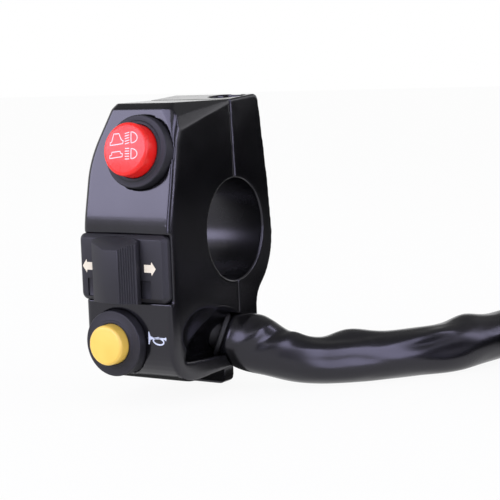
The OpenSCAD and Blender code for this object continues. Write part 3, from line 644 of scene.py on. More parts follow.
def deliver(piece: bpy.types.Object, finish: Finish, body: Body, slot: str, *nodes: str) -> bpy.types.Object:
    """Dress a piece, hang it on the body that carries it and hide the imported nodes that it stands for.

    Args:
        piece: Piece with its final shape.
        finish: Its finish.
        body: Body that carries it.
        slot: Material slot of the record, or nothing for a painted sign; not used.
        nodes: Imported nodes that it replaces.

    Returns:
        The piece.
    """
    dress(piece, finish)
    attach(piece, body.value)
    if nodes:
        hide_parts(*nodes)
    LOG.info("%s rides on %s, %d faces", piece.name, body.value, len(piece.data.polygons))
    return piece


def direction(azimuth: float, elevation: float) -> Vector:
    """Way from the object to one side of it, in degrees, where azimuth 0 is the front and 90 the right."""
    turn = math.radians(azimuth)
    rise = math.radians(elevation)
    return Vector((math.sin(turn) * math.cos(rise), -math.cos(turn) * math.cos(rise), math.sin(rise)))


@dataclass
class Studio:
    """Camera at the photograph's angle, pale floor, white surround, soft lamps and cards that paint
    reflections.
    """

    azimuth: float = 32.392
    elevation: float = 6.89
    roll: float = -1.973
    distance: float = 344.578
    aim_right: float = 12.6
    aim_up: float = -5.104
    focal_pixels: float = 1545.0
    image_pixels: float = 500.0
    sensor: float = 36.0
    floor_size: float = 6.0
    floor_glow: float = 0.93
    fill: float = 0.7

    def axes(self) -> tuple[Vector, Vector, Vector]:
        """Directions to the right of the view, up in it and back to the camera."""
        turn = math.radians(self.azimuth)
        back = direction(self.azimuth, self.elevation)
        right = Vector((math.cos(turn), math.sin(turn), 0))
        up = back.cross(right)
        tilt = math.radians(self.roll)
        return (math.cos(tilt) * right + math.sin(tilt) * up,
                -math.sin(tilt) * right + math.cos(tilt) * up, back)

    def camera(self) -> None:
        """Make the camera and set it as the scene's."""
        right, up, back = self.axes()
        data = bpy.data.cameras.new("photo_camera")
        data.sensor_width = self.sensor
        data.lens = self.sensor * self.focal_pixels / self.image_pixels
        data.clip_start = 0.01
        camera = Bench.add("photo_camera", data)
        turned = Matrix((right, up, back)).transposed().to_4x4()
        eye = (back * self.distance + right * self.aim_right + up * self.aim_up) * MM
        camera.matrix_world = Matrix.Translation(eye) @ turned
        bpy.context.scene.camera = camera

    @staticmethod
    def seen(board: Board) -> bpy.types.NodeSocket:
        """One for rays from the camera and for mirrored or bent ones, otherwise nothing."""
        path = board.put("LightPath")
        direct = board.math("MAXIMUM", path.outputs["Is Camera Ray"], path.outputs["Is Glossy Ray"])
        return board.math("MAXIMUM", direct, path.outputs["Is Transmission Ray"])

    def surround(self) -> None:
        """White surround for what is seen or mirrored, and a plain fill for everything else."""
        world = bpy.data.worlds.new("white_surround")
        world.use_nodes = True
        board = Board(world.node_tree)
        fill = world.node_tree.nodes["Background"]
        fill.inputs["Strength"].default_value = self.fill
        fill.inputs["Color"].default_value = (1, 1, 1, 1)
        white = board.put("Background", in_Color=(1, 1, 1, 1), in_Strength=1.0)
        mix = board.put("MixShader")
        board.wire(self.seen(board), mix.inputs[0])
        board.wire(fill.outputs[0], mix.inputs[1])
        board.wire(white.outputs[0], mix.inputs[2])
        board.wire(mix.outputs[0], world.node_tree.nodes["World Output"].inputs["Surface"])
        bpy.context.scene.world = world

    def floor(self) -> None:
        """Pale floor under the lowest point, which keeps a faint shadow."""
        Bench.clear()
        bpy.ops.mesh.primitive_plane_add(size=self.floor_size, location=(0, 0, CAD_BOX[0].z))
        floor = bpy.context.object
        floor.name = "floor"
        material = bpy.data.materials.new("pale_floor")
        material.use_nodes = True
        board = Board(material.node_tree)
        shader = material.node_tree.nodes["Principled BSDF"]
        shader.inputs["Base Color"].default_value = (0.9, 0.9, 0.9, 1)
        shader.inputs["Roughness"].default_value = 0.8
        glow = board.put("Emission", in_Color=(1, 1, 1, 1), in_Strength=1.0)
        mix = board.put("MixShader")
        board.wire(board.math("MULTIPLY", self.seen(board), self.floor_glow), mix.inputs[0])
        board.wire(shader.outputs[0], mix.inputs[1])
        board.wire(glow.outputs[0], mix.inputs[2])
        board.wire(mix.outputs[0], material.node_tree.nodes["Material Output"].inputs["Surface"])
        floor.data.materials.append(material)

    @staticmethod
    def lamp(name: str, azimuth: float, elevation: float, away: float, size: Point2, watts: float,
             colour: Colour = (1, 1, 1)) -> None:
        """Soft rectangular lamp that faces the object.

        Args:
            name: Name of the lamp.
            azimuth: Side it stands on, in degrees, where 0 is the front and 90 the right.
            elevation: Degrees above the object's middle.
            away: Distance in metres.
            size: Width and height in metres.
            watts: Power.
            colour: Colour of its light.
        """
        back = direction(azimuth, elevation)
        data = bpy.data.lights.new(name, "AREA")
        data.shape = "RECTANGLE"
        data.size, data.size_y = size
        data.energy = watts
        data.color = colour
        lamp = Bench.add(name, data)
        lamp.location = back * away
        lamp.rotation_euler = back.to_track_quat("Z", "Y").to_euler()
        lamp.visible_camera = False

    @staticmethod
    def painted_reflection(name: str, low: Point3, high: Point3, tone: float, colour: Colour = (1, 1, 1)) -> None:
        """Glowing or black card that only mirrored rays meet: a painted reflection that sets how bright gloss
        is on that side.

        Args:
            name: Name of the card.
            low: Its lowest corner in metres.
            high: Its highest corner in metres.
            tone: Its brightness, where 0 is black and 1 is white.
            colour: Its colour.
        """
        card = Bench.block(name, Vector(low), Vector(high))
        material = bpy.data.materials.new(name)
        material.use_nodes = True
        board = Board(material.node_tree)
        glow = board.put("Emission", in_Color=(*colour, 1), in_Strength=tone)
        board.wire(glow.outputs[0], material.node_tree.nodes["Material Output"].inputs["Surface"])
        card.data.materials.append(material)
        card.visible_camera = False
        card.visible_diffuse = False
        card.visible_shadow = False
        card.visible_transmission = False

    def build(self) -> None:
        """Set up camera, surround, floor, lamps and the cards that paint reflections."""
        bpy.context.scene.view_settings.view_transform = "Standard"
        self.camera()
        self.surround()
        self.floor()
        cool = (0.92, 0.9, 1.18)
        self.lamp("softbox", -28, 19, 0.62, (0.74, 0.185), 2.05, cool)
        self.lamp("side_strip", 78, 14, 0.6, (0.12, 0.5), 0.2, cool)
        self.lamp("rear_strip", 118, 15, 0.5, (0.06, 0.3), 0.3, cool)
        floor_z = CAD_BOX[0].z
        above, top = floor_z + 0.0005, floor_z + 0.001
        # Cards that only mirrored rays meet are painted reflections: the bright ones paint highlights into
        # the gloss, and the dark ones paint shade.
        self.painted_reflection("right_card_low", (0.1, 0.4, above), (0.6, 0.41, 0.05), 0.0)
        self.painted_reflection("right_card_middle", (0.1, 0.4, 0.05), (0.6, 0.41, 0.15), 1.4)
        self.painted_reflection("right_card_high", (0.1, 0.4, 0.15), (0.6, 0.41, 0.5), 0.4)
        # The black cards near and under the object paint its shadow on the floor, as mirrored rays see it.
        self.painted_reflection("painted_shadow_near", (0.03, 0.05, above), (0.5, 0.16, top), 0.0)
        self.painted_reflection("floor_card_middle", (0.03, 0.16, above), (0.5, 0.33, top), 0.15)
        self.painted_reflection("floor_card_far", (0.03, 0.33, above), (0.5, 0.4, top), 0.0)
        self.painted_reflection("painted_shadow_under", (-0.025, -0.02, above), (0.012, 0.03, top), 0.08)
        self.painted_reflection("front_card", (0.0, -0.49, 0.08), (0.19, -0.48, 0.5), 4.6, cool)
        self.painted_reflection("front_card_high", (-0.32, -0.5, 0.24), (0.19, -0.49, 0.5), 4.6, cool)
        self.painted_reflection("front_dark", (0.2, -0.46, above), (0.6, -0.45, 0.35), 0.25)
        self.painted_reflection("end_card", (0.6, 0.0, above), (0.61, 0.4, 0.6), 0.3)
        self.painted_reflection("cable_card", (0.54, -0.34, above), (0.55, 0.0, 0.62), 4.2, cool)
        self.painted_reflection("rear_card", (-0.6, 0.5, 0.01), (-0.1, 0.51, 0.2), 1.15)
        self.painted_reflection("rear_card_high", (-0.7, 0.5, 0.2), (0.3, 0.51, 0.6), 0.25)
        self.painted_reflection("top_card", (-0.5, -0.3, 0.42), (0.5, 0.6, 0.43), 0.3)


@dataclass(frozen=True)
class Axle:
    """Axis of a turned piece, with the heights of its two ends along it."""

    centre: Vector
    out: Vector
    low: float
    high: float
    radius: float

    @classmethod
    def of(cls, node: str, out: Vector) -> "Axle":
        """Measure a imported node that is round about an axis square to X.

        Args:
            node: Name of the node.
            out: Direction of the axis, outwards.

        Returns:
            Axis through the node's middle, sizes in millimetres.
        """
        side = Vector((1, 0, 0))
        up = out.cross(side)
        points = [v.co / MM for v in frame["nodes"][node].data.vertices]
        across = [p.dot(side) for p in points]
        over = [p.dot(up) for p in points]
        along = [p.dot(out) for p in points]
        middle = side * (min(across) + max(across)) / 2 + up * (min(over) + max(over)) / 2
        return cls(middle, out, min(along), max(along), (max(across) - min(across)) / 2)

    def matrix(self, height: float) -> Matrix:
        """Frame at a height on the axis: Z outwards, X along the bar."""
        side = Vector((1, 0, 0))
        turned = Matrix((side, self.out.cross(side), self.out)).transposed().to_4x4()
        return Matrix.Translation((self.centre + self.out * height) * MM) @ turned


def arc(centre: Point2, radius: float, start: float, end: float, steps: int) -> list[Point2]:
    """Points of an arc, with its angles in degrees."""
    angles = [math.radians(start + (end - start) * i / steps) for i in range(steps + 1)]
    return [(centre[0] + radius * math.cos(a), centre[1] + radius * math.sin(a)) for a in angles]


@dataclass
class Housing:
    """Front half with the panel, and rear half round the bar."""

    grid: float = 0.24
    rounds: int = 4
    top_round: float = 1.7
    round_steps: int = 8
    top_rear: Point2 = (11.7, 29.2)
    top_slope: Point2 = (-0.997, -0.077)
    rear_slope: Point2 = (0.105, -0.994)
    hollow_centre: Point3 = (15.1, -13.5, -20.6)
    hollow_half: Point3 = (6.0, 10.85, 6.72)
    scoop_low: Point3 = (2.0, -22.8, -32.5)
    scoop_high: Point3 = (12.5, -1.0, -9.0)
    scoop_rounds: int = 24
    screw_grid: float = 0.16
    screw_rounds: int = 2

    def rounding(self) -> bpy.types.Object:
        """Tool body that rounds the rear half's top edge: a bar with a hollow side."""
        corner, top, down = (Vector(p) for p in (self.top_rear, self.top_slope, self.rear_slope))
        middle = corner + (top + down) * self.top_round
        hollow = []
        for i in range(self.round_steps + 1):
            turn = math.pi / 2 * i / self.round_steps
            hollow.append(middle - (down * math.cos(turn) + top * math.sin(turn)) * self.top_round)
        section = [hollow[0] - down, *hollow, hollow[-1] - top, corner - top - down]
        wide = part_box("rear_clamp")[1].x / MM + 1
        return Bench.prism("rounding", [(-wide, y, z) for y, z in section], Vector((2 * wide * MM, 0, 0)))

    def hollow(self) -> bpy.types.Object:
        """Tool body that fills out the upper front corner of the hollow round the cable's way out."""
        Bench.clear()
        bpy.ops.mesh.primitive_uv_sphere_add(
            segments=64, ring_count=32, radius=MM, location=Vector(self.hollow_centre) * MM)
        tool = bpy.context.object
        tool.scale = self.hollow_half
        bpy.ops.object.transform_apply(location=True, rotation=True, scale=True)
        return tool

    def soften(self, shell: bpy.types.Object) -> None:
        """Round the rim of the hollow round the cable's way out more than the other edges."""
        rim = shell.vertex_groups.new(name="scoop_rim")
        limits = list(zip(self.scoop_low, self.scoop_high))
        near = [v.index for v in shell.data.vertices
                if all(low < place / MM < high for place, (low, high) in zip(v.co, limits))]
        rim.add(near, 1.0, "REPLACE")
        Bench.apply(shell, "SMOOTH", factor=0.5, iterations=self.scoop_rounds, vertex_group=rim.name)
        shell.vertex_groups.clear()

    def build(self) -> None:
        """Round the edges of both halves and of the screws that hold them together."""
        front = Bench.moulded("front_housing", "front_shell", self.grid, self.rounds, self.hollow())
        self.soften(front)
        rear = Bench.moulded("rear_clamp", "rear_shell", self.grid, self.rounds, self.rounding())
        for shell, node in ((front, "front_housing"), (rear, "rear_clamp")):
            deliver(shell, Finishes.HOUSING, Body.HOUSING, "housing_black", node)
        screws = Bench.moulded("clamp_screws", "pan_screws", self.screw_grid, self.screw_rounds)
        deliver(screws, Finishes.STEEL, Body.HOUSING, "steel", "clamp_screws")


@dataclass
class PushButton:
    """Bezel ring, cap and return spring of one push button."""

    prefix: str
    body: Body
    joint: str
    cap_finish: Finish
    cap_slot: str
    cap_edge: float = 0.8
    crown: float = 0.3
    cap_wall: float = 0.95
    cap_roof: float = 1.3
    face_steps: int = 6
    rim_steps: int = 8
    skirt_ease: float = 0.15
    ring_step: float = 0.3
    lip_w: float = 0.75
    lip_foot: Point2 = (0.12, 0.06)
    lip_edge: Point2 = (0.15, 0.04)
    lip_flat: float = 0.25
    lip_bevel: float = 0.1
    edge: float = 0.3
    edge_steps: int = 5
    flange: float = 2.9
    barrel_wall: float = 0.9
    fit: float = 0.1
    out: Vector = field(init=False)
    cap: Axle = field(init=False)
    ring: Axle = field(init=False)

    def __post_init__(self) -> None:
        """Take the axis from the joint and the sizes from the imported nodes."""
        joint = next(j for j in frame["joints"] if j["name"] == self.joint)
        self.out = -Vector(joint["axis"]).normalized()
        self.cap = Axle.of(self.prefix + "_cap", self.out)
        self.ring = Axle.of(self.prefix + "_bezel", self.out)

    def sag(self, reach: float) -> float:
        """How far the crowned face lies below its middle, at a distance from the axis."""
        return self.crown * (reach / (self.cap.radius - self.cap_edge)) ** 2

    def make_cap(self) -> None:
        """Turn the cap: crowned face, rounded edge, hollow from below."""
        r = self.cap.radius
        depth = self.cap.high - self.cap.low
        flat = r - self.cap_edge
        reaches = [flat * i / self.face_steps for i in range(self.face_steps + 1)]
        face = [(reach, -self.sag(reach)) for reach in reaches]
        side_top = -self.crown - self.cap_edge
        rim = arc((flat, side_top), self.cap_edge, 90, 0, self.rim_steps)[1:]
        inner = r - self.cap_wall
        skirt = [(r, self.skirt_ease - depth), (r - self.skirt_ease, -depth), (inner, -depth),
                 (inner, -self.cap_roof), (0, -self.cap_roof)]
        cap = Bench.turned(self.prefix + "_button", face + rim + skirt, closed=False)
        Bench.place(cap, self.cap.matrix(self.cap.high))
        Bench.smooth(cap, 40)
        deliver(cap, self.cap_finish, self.body, self.cap_slot, self.prefix + "_cap")

    def make_ring(self) -> None:
        """Turn the bezel: rounded ring, raised lip next to the cap and barrel into the housing."""
        r = self.ring.radius
        bore = self.cap.radius + self.fit
        depth = self.ring.high - self.ring.low
        top = -self.ring_step
        lip = bore + self.lip_w
        profile = [(bore, -depth), (bore + self.barrel_wall, -depth)]
        profile += [(bore + self.barrel_wall, top - self.flange), (r, top - self.flange)]
        profile += arc((r - self.edge, top - self.edge), self.edge, 0, 90, self.edge_steps)
        profile += [(lip + self.lip_foot[0], top), (lip, top + self.lip_foot[1])]
        profile += [(lip - self.lip_edge[0], -self.lip_edge[1]), (lip - self.lip_flat, 0)]
        profile += [(bore + self.lip_bevel, 0), (bore, -self.lip_bevel)]
        ring = Bench.turned(self.prefix + "_ring", profile, closed=True)
        Bench.place(ring, self.ring.matrix(self.ring.high))
        Bench.smooth(ring, 40)
        deliver(ring, Finishes.RING, Body.HOUSING, "bezel_grey", self.prefix + "_bezel")

    def make_spring(self) -> None:
        """Copy the return spring with smooth wire."""
        spring = Bench.copy_of(self.prefix + "_spring", self.prefix + "_return_spring")
        Bench.apply(spring, "SUBSURF", levels=1, render_levels=1)
        Bench.smooth(spring, 60)
        deliver(spring, Finishes.STEEL, Body.HOUSING, "steel", self.prefix + "_spring")
        axle = Axle.of(self.prefix + "_spring", self.out)
        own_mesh(spring)

    def build(self) -> None:
        """Make cap, ring and spring, and dress the inner nodes."""
        self.make_cap()
        self.make_ring()
        self.make_spring()
        for part, finish in (("plunger", Finishes.NATURAL), ("contact", Finishes.BRASS),
                             ("base", Finishes.BAKELITE), ("terminals", Finishes.BRASS)):
            dress(frame["nodes"][f"{self.prefix}_{part}"], finish)


@dataclass
class BeamSign:
    """Sign painted on the red cap: a tall and a low vehicle, and a lamp with its beam beside each."""

    line: float = 0.2
    rays: int = 5
    ray_pitch: float = 0.54
    ray_length: float = 1.05
    ray_gap: float = 0.45
    bowl_steps: int = 12
    tall: tuple[Point2, ...] = (
        (-3.6, 0.6), (-0.3, 1.0), (-0.3, 1.6), (-0.8, 1.8), (-1.6, 3.1), (-3.0, 3.0), (-3.3, 1.3),
        (-3.7, 1.2))
    low: tuple[Point2, ...] = (
        (-3.5, -2.1), (-0.2, -1.7), (-0.2, -1.1), (-0.7, -1.0), (-0.8, -0.6), (-3.0, -0.8), (-3.0, -1.4),
        (-3.5, -1.5))

    def lamp(self, middle: Point2, half: float, bulge: float, skew: float,
             slope: float) -> list[bpy.types.Object]:
        """Draw a lamp as a round bowl with a straight glass, and its rays to the left.

        Args:
            middle: Middle of the glass.
            half: Half the height of the glass.
            bulge: Depth of the bowl to the right.
            skew: How far the glass leans to the left at its top.
            slope: Rise of a ray over its length.

        Returns:
            The lines.
        """
        x, y = middle
        turns = [math.pi * i / self.bowl_steps - math.pi / 2 for i in range(self.bowl_steps + 1)]
        bowl = [(x + bulge * math.cos(a) - skew * math.sin(a), y + half * math.sin(a)) for a in turns]
        lines = [Bench.stroke("bowl", bowl, self.line, closed=True)]
        for i in range(self.rays):
            rise = (i - (self.rays - 1) / 2) * self.ray_pitch
            end = (x - self.ray_gap - skew * rise / half, y + rise)
            start = (end[0] - self.ray_length, end[1] - slope)
            lines.append(Bench.stroke("ray", [start, end], self.line))
        return lines

    def build(self, button: PushButton) -> None:
        """Paint the sign on a button's crowned face.

        Args:
            button: Button that carries it.
        """
        lines = [Bench.stroke("vehicle", outline, self.line, closed=True)
                 for outline in (self.tall, self.low)]
        lines += self.lamp((1.6, 2.3), half=1.15, bulge=1.5, skew=0.17, slope=0.3)
        lines += self.lamp((1.95, -1.05), half=1.05, bulge=1.45, skew=0.07, slope=0.06)
        sign = Bench.join("beam_sign", lines)
        for vertex in sign.data.vertices:
            vertex.co.z -= button.sag(vertex.co.xy.length / MM) * MM
        Bench.place(sign, button.cap.matrix(button.cap.high))
        Bench.smooth(sign, 50)
        deliver(sign, Finishes.PINK_PAINT, button.body, "")


@dataclass
class HornSign:
    """Horn painted on the panel beside the yellow button: bell, stem, mouthpiece and a loop below."""

    panel_y: float = -25.6
    film: float = 0.04
    line: float = 0.32
    bell: tuple[Point2, ...] = (
        (5.15, -19.05), (5.35, -19.05), (5.6, -19.9), (6.4, -20.3), (6.4, -20.55), (5.6, -20.75),
        (5.3, -21.75), (5.1, -21.75))
    stem: tuple[Point2, ...] = ((6.4, -20.4), (9.3, -20.35))
    mouthpiece: tuple[Point2, ...] = (
        (9.15, -20.25), (9.6, -20.0), (9.7, -20.4), (9.55, -20.8), (9.15, -20.5))
    valve: tuple[Point2, ...] = ((7.6, -20.3), (7.6, -20.05))
    loop_middle: Point2 = (7.65, -21.0)
    loop_half: Point2 = (1.33, 0.68)
    loop_tilt: float = -8.0
    loop_steps: int = 32

    def loop(self) -> list[Point2]:
        """Points of the tilted oval loop."""
        tilt = math.radians(self.loop_tilt)
        points = []
        for i in range(self.loop_steps):
            turn = math.tau * i / self.loop_steps
            x, y = self.loop_half[0] * math.cos(turn), self.loop_half[1] * math.sin(turn)
            points.append((self.loop_middle[0] + x * math.cos(tilt) - y * math.sin(tilt),
                           self.loop_middle[1] + x * math.sin(tilt) + y * math.cos(tilt)))
        return points

    def build(self) -> None:
        """Paint the horn on the panel."""
        up = Vector((0, 0, 2 * self.film * MM))
        parts = [Bench.prism("patch", [(x, y, -self.film) for x, y in outline], up)
                 for outline in (self.bell, self.mouthpiece)]
        parts.append(Bench.stroke("stem", self.stem, self.line))
        parts.append(Bench.stroke("valve", self.valve, self.line))
        parts.append(Bench.stroke("loop", self.loop(), self.line, closed=True))
        sign = Bench.join("horn_sign", parts)
        front = Matrix(((1, 0, 0), (0, 0, -1), (0, 1, 0))).to_4x4()
        Bench.place(sign, Matrix.Translation((0, self.panel_y * MM, 0)) @ front)
        Bench.smooth(sign, 50)
        deliver(sign, Finishes.BLUE_PAINT, Body.HOUSING, "")


@dataclass
class TurnSlide:
    """Raised plate with two painted arrows, and the ribbed knob that slides on it."""

    knob_x: float = -1.3
    middle_z: float = -5.85
    corner: float = 1.5
    chamfer: float = 0.9
    edge: float = 0.12
    stem: Point2 = (4.4, 3.2)
    stem_z: float = -1.2
    stem_reach: float = 2.9
    stem_fit: float = 0.1
    stem_overlap: float = 0.05
    track_x: float = 8.2
    track_z: Point2 = (-6.2, -2.4)
    track_depth: float = 0.4
    knob_w: float = 11.5
    crest_w: float = 3.6
    slide_gap: float = 0.1
    knob_side: float = 1.4
    knob_out: float = 2.9
    top_slope: float = 1.8
    arch_rise: float = 0.75
    arch_depth: float = 20.0
    ribs: int = 7
    groove_w: float = 0.38
    groove_depth: float = 0.2
    rib_margin: Point2 = (0.1, 0.2)
    arrow_z: float = -5.65
    arrow_length: float = 2.95
    arrow_head: float = 1.2
    arrow_half: float = 1.42
    arrow_shaft: float = 0.82
    arrow_barb: float = 0.15
    arrow_film: float = 0.03
    arrow_margin: float = 0.15
    right_tip: float = 8.35
    front: float = field(init=False)

    def __post_init__(self) -> None:
        """Take the plate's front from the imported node."""
        self.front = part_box("turn_plate")[0].y / MM

    def stem_block(self, name: str, reach: float, gap: float, back: float) -> bpy.types.Object:
        """Block round the knob's stem, from in front of the plate to a depth behind it.

        Args:
            name: Name of the block.
            reach: Room to each side in millimetres.
            gap: Room above and below in millimetres.
            back: Where it ends behind the plate, in millimetres along Y.

        Returns:
            The block.
        """
        wide, tall = self.stem
        middle = self.middle_z + self.stem_z
        start = self.front - self.slide_gap - self.stem_overlap
        low = Vector((self.knob_x - wide / 2 - reach, start, middle - tall / 2 - gap))
        high = Vector((self.knob_x + wide / 2 + reach, back, middle + tall / 2 + gap))
        return Bench.block(name, low * MM, high * MM)

    def make_plate(self) -> None:
        """Shape the plate from a block: round corners, chamfer, slot for the stem and shallow track."""
        low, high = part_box("turn_plate")
        plate = Bench.block("slide_plate", low, high)
        with Bench.edit(plate, "EDGE"):
            Bench.pick_edges(plate, lambda e: abs(e.verts[0].co.y - e.verts[1].co.y) > MM)
            bpy.ops.mesh.bevel(offset=self.corner * MM, segments=6, affect="EDGES")
        with Bench.edit(plate, "EDGE"):
            Bench.pick_edges(plate, lambda e: max(v.co.y for v in e.verts) < low.y + 0.01 * MM)
            bpy.ops.mesh.bevel(offset=self.chamfer * MM, segments=1, affect="EDGES")
        Bench.cut(plate, self.stem_block("slot", self.stem_reach, self.stem_fit, high.y / MM + 1))
        below, above = (self.middle_z + z for z in self.track_z)
        start = Vector((self.knob_x - self.track_x, self.front - 1, below))
        end = Vector((self.knob_x + self.track_x, self.front + self.track_depth, above))
        Bench.cut(plate, Bench.block("track", start * MM, end * MM))
        Bench.apply(plate, "BEVEL", width=self.edge * MM, segments=2, limit_method="ANGLE",
                    angle_limit=math.radians(30))
        Bench.smooth(plate, 30)
        deliver(plate, Finishes.SLIDE, Body.HOUSING, "slide_black", "turn_plate")

    def knob_section(self) -> list[Point2]:
        """Section of the knob as X and height over the plate: left slope, crest and grooved right slope."""
        half, crest = self.knob_w / 2, self.crest_w / 2
        shoulder = self.slide_gap + self.knob_side
        slope = Vector((half - crest, shoulder - self.knob_out))
        down = slope.normalized()
        inwards = Vector((down.y, -down.x))
        points = [(-half, self.slide_gap), (-half, shoulder), (-crest, self.knob_out), (crest, self.knob_out)]
        for i in range(self.ribs):
            middle = Vector((crest, self.knob_out)) + slope * (i + 1) / (self.ribs + 1)
            for turn in (0, 45, 90, 135, 180):
                run = -math.cos(math.radians(turn)) * self.groove_w / 2
                depth = math.sin(math.radians(turn)) * self.groove_depth
                points.append(tuple(middle + down * run + inwards * depth))
        return points + [(half, shoulder), (half, self.slide_gap)]

    def make_knob(self) -> None:
        """Extrude the knob's section, slope and arch its top, add its stem and ease its edges."""
        low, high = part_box("turn_knob")
        section = [(self.knob_x + x, self.front - y, low.z / MM) for x, y in self.knob_section()]
        knob = Bench.prism("slide_knob", section, Vector((0, 0, high.z - low.z + MM)))
        rear = Vector((0, (self.front - self.slide_gap) * MM, high.z))
        rise = Vector((0, -self.top_slope, self.knob_out - self.slide_gap))
        with Bench.edit(knob, "VERT"):
            bpy.ops.mesh.select_all(action="SELECT")
            bpy.ops.mesh.bisect(plane_co=rear, plane_no=rise, use_fill=True, clear_outer=True)
        arch = ((self.knob_w / 2) ** 2 + self.arch_rise ** 2) / (2 * self.arch_rise) * MM
        Bench.clear()
        bpy.ops.mesh.primitive_cylinder_add(
            vertices=360, radius=arch, depth=self.arch_depth * MM, rotation=(math.pi / 2, 0, 0),
            location=(self.knob_x * MM, rear.y, high.z - arch))
        Bench.cut(knob, bpy.context.object, "INTERSECT")
        Bench.cut(knob, self.stem_block("stem", 0, 0, high.y / MM), "UNION")
        first_rib = self.knob_x + self.crest_w / 2 + self.rib_margin[0]
        last_rib = self.knob_x + self.knob_w / 2 - self.rib_margin[1]

        def crisp(edge: bmesh.types.BMEdge) -> bool:
            """True for a sharp edge that isn't on the ribs."""
            on_ribs = any(first_rib < v.co.x / MM < last_rib for v in edge.verts)
            return edge.is_manifold and edge.calc_face_angle() > math.radians(20) and not on_ribs

        with Bench.edit(knob, "EDGE"):
            Bench.pick_edges(knob, crisp)
            bpy.ops.mesh.bevel(offset=self.edge * MM, segments=2, affect="EDGES")
        Bench.smooth(knob, 30)
        deliver(knob, Finishes.SLIDE, Body.SLIDER, "slide_black", "turn_knob")

    def make_arrows(self) -> None:
        """Paint an arrow that points outwards on each side of the knob."""
        left_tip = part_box("turn_plate")[0].x / MM + self.chamfer + self.arrow_margin
        upper = [(self.arrow_head - self.arrow_barb, self.arrow_half),
                 (self.arrow_head, self.arrow_shaft), (self.arrow_length, self.arrow_shaft)]
        outline = [(0.0, 0.0), *upper, *[(x, -z) for x, z in reversed(upper)]]
        for name, tip, way in (("arrow_left", left_tip, 1), ("arrow_right", self.right_tip, -1)):
            points = [(tip + way * x, self.front + self.arrow_film, self.arrow_z + z) for x, z in outline]
            arrow = Bench.prism(name, points, Vector((0, -2 * self.arrow_film * MM, 0)))
            deliver(arrow, Finishes.CREAM_PAINT, Body.HOUSING, "")

    def build(self) -> None:
        """Make plate, knob and arrows, and dress the inner nodes."""
        self.make_plate()
        self.make_knob()
        self.make_arrows()
        for part, finish in (("carriage", Finishes.NATURAL), ("wiper", Finishes.BRASS),
                             ("detent_ball", Finishes.STEEL), ("detent_spring", Finishes.STEEL),
                             ("base", Finishes.BAKELITE), ("terminals", Finishes.BRASS)):
            dress(frame["nodes"]["turn_" + part], finish)


@dataclass(frozen=True)
class Fold:
    """One soft fold of the sleeve: where it lies, how far it spreads and how high it stands."""

    along: float
    around: float
    length: float
    width: float
    height: float
    slant: float = 0.0

    def lift(self, along: float, around: float) -> float:
        """Height of the fold at a place on the sleeve.

        Args:
            along: Millimetres from the mouth.
            around: Degrees round the sleeve, where 90 is the top.

        Returns:
            Millimetres outwards.
        """
        run = along - self.along
        turn = (around - self.around - self.slant * run + 180) % 360 - 180
        return self.height * math.exp(-(run / self.length) ** 2 - (turn / self.width) ** 2)


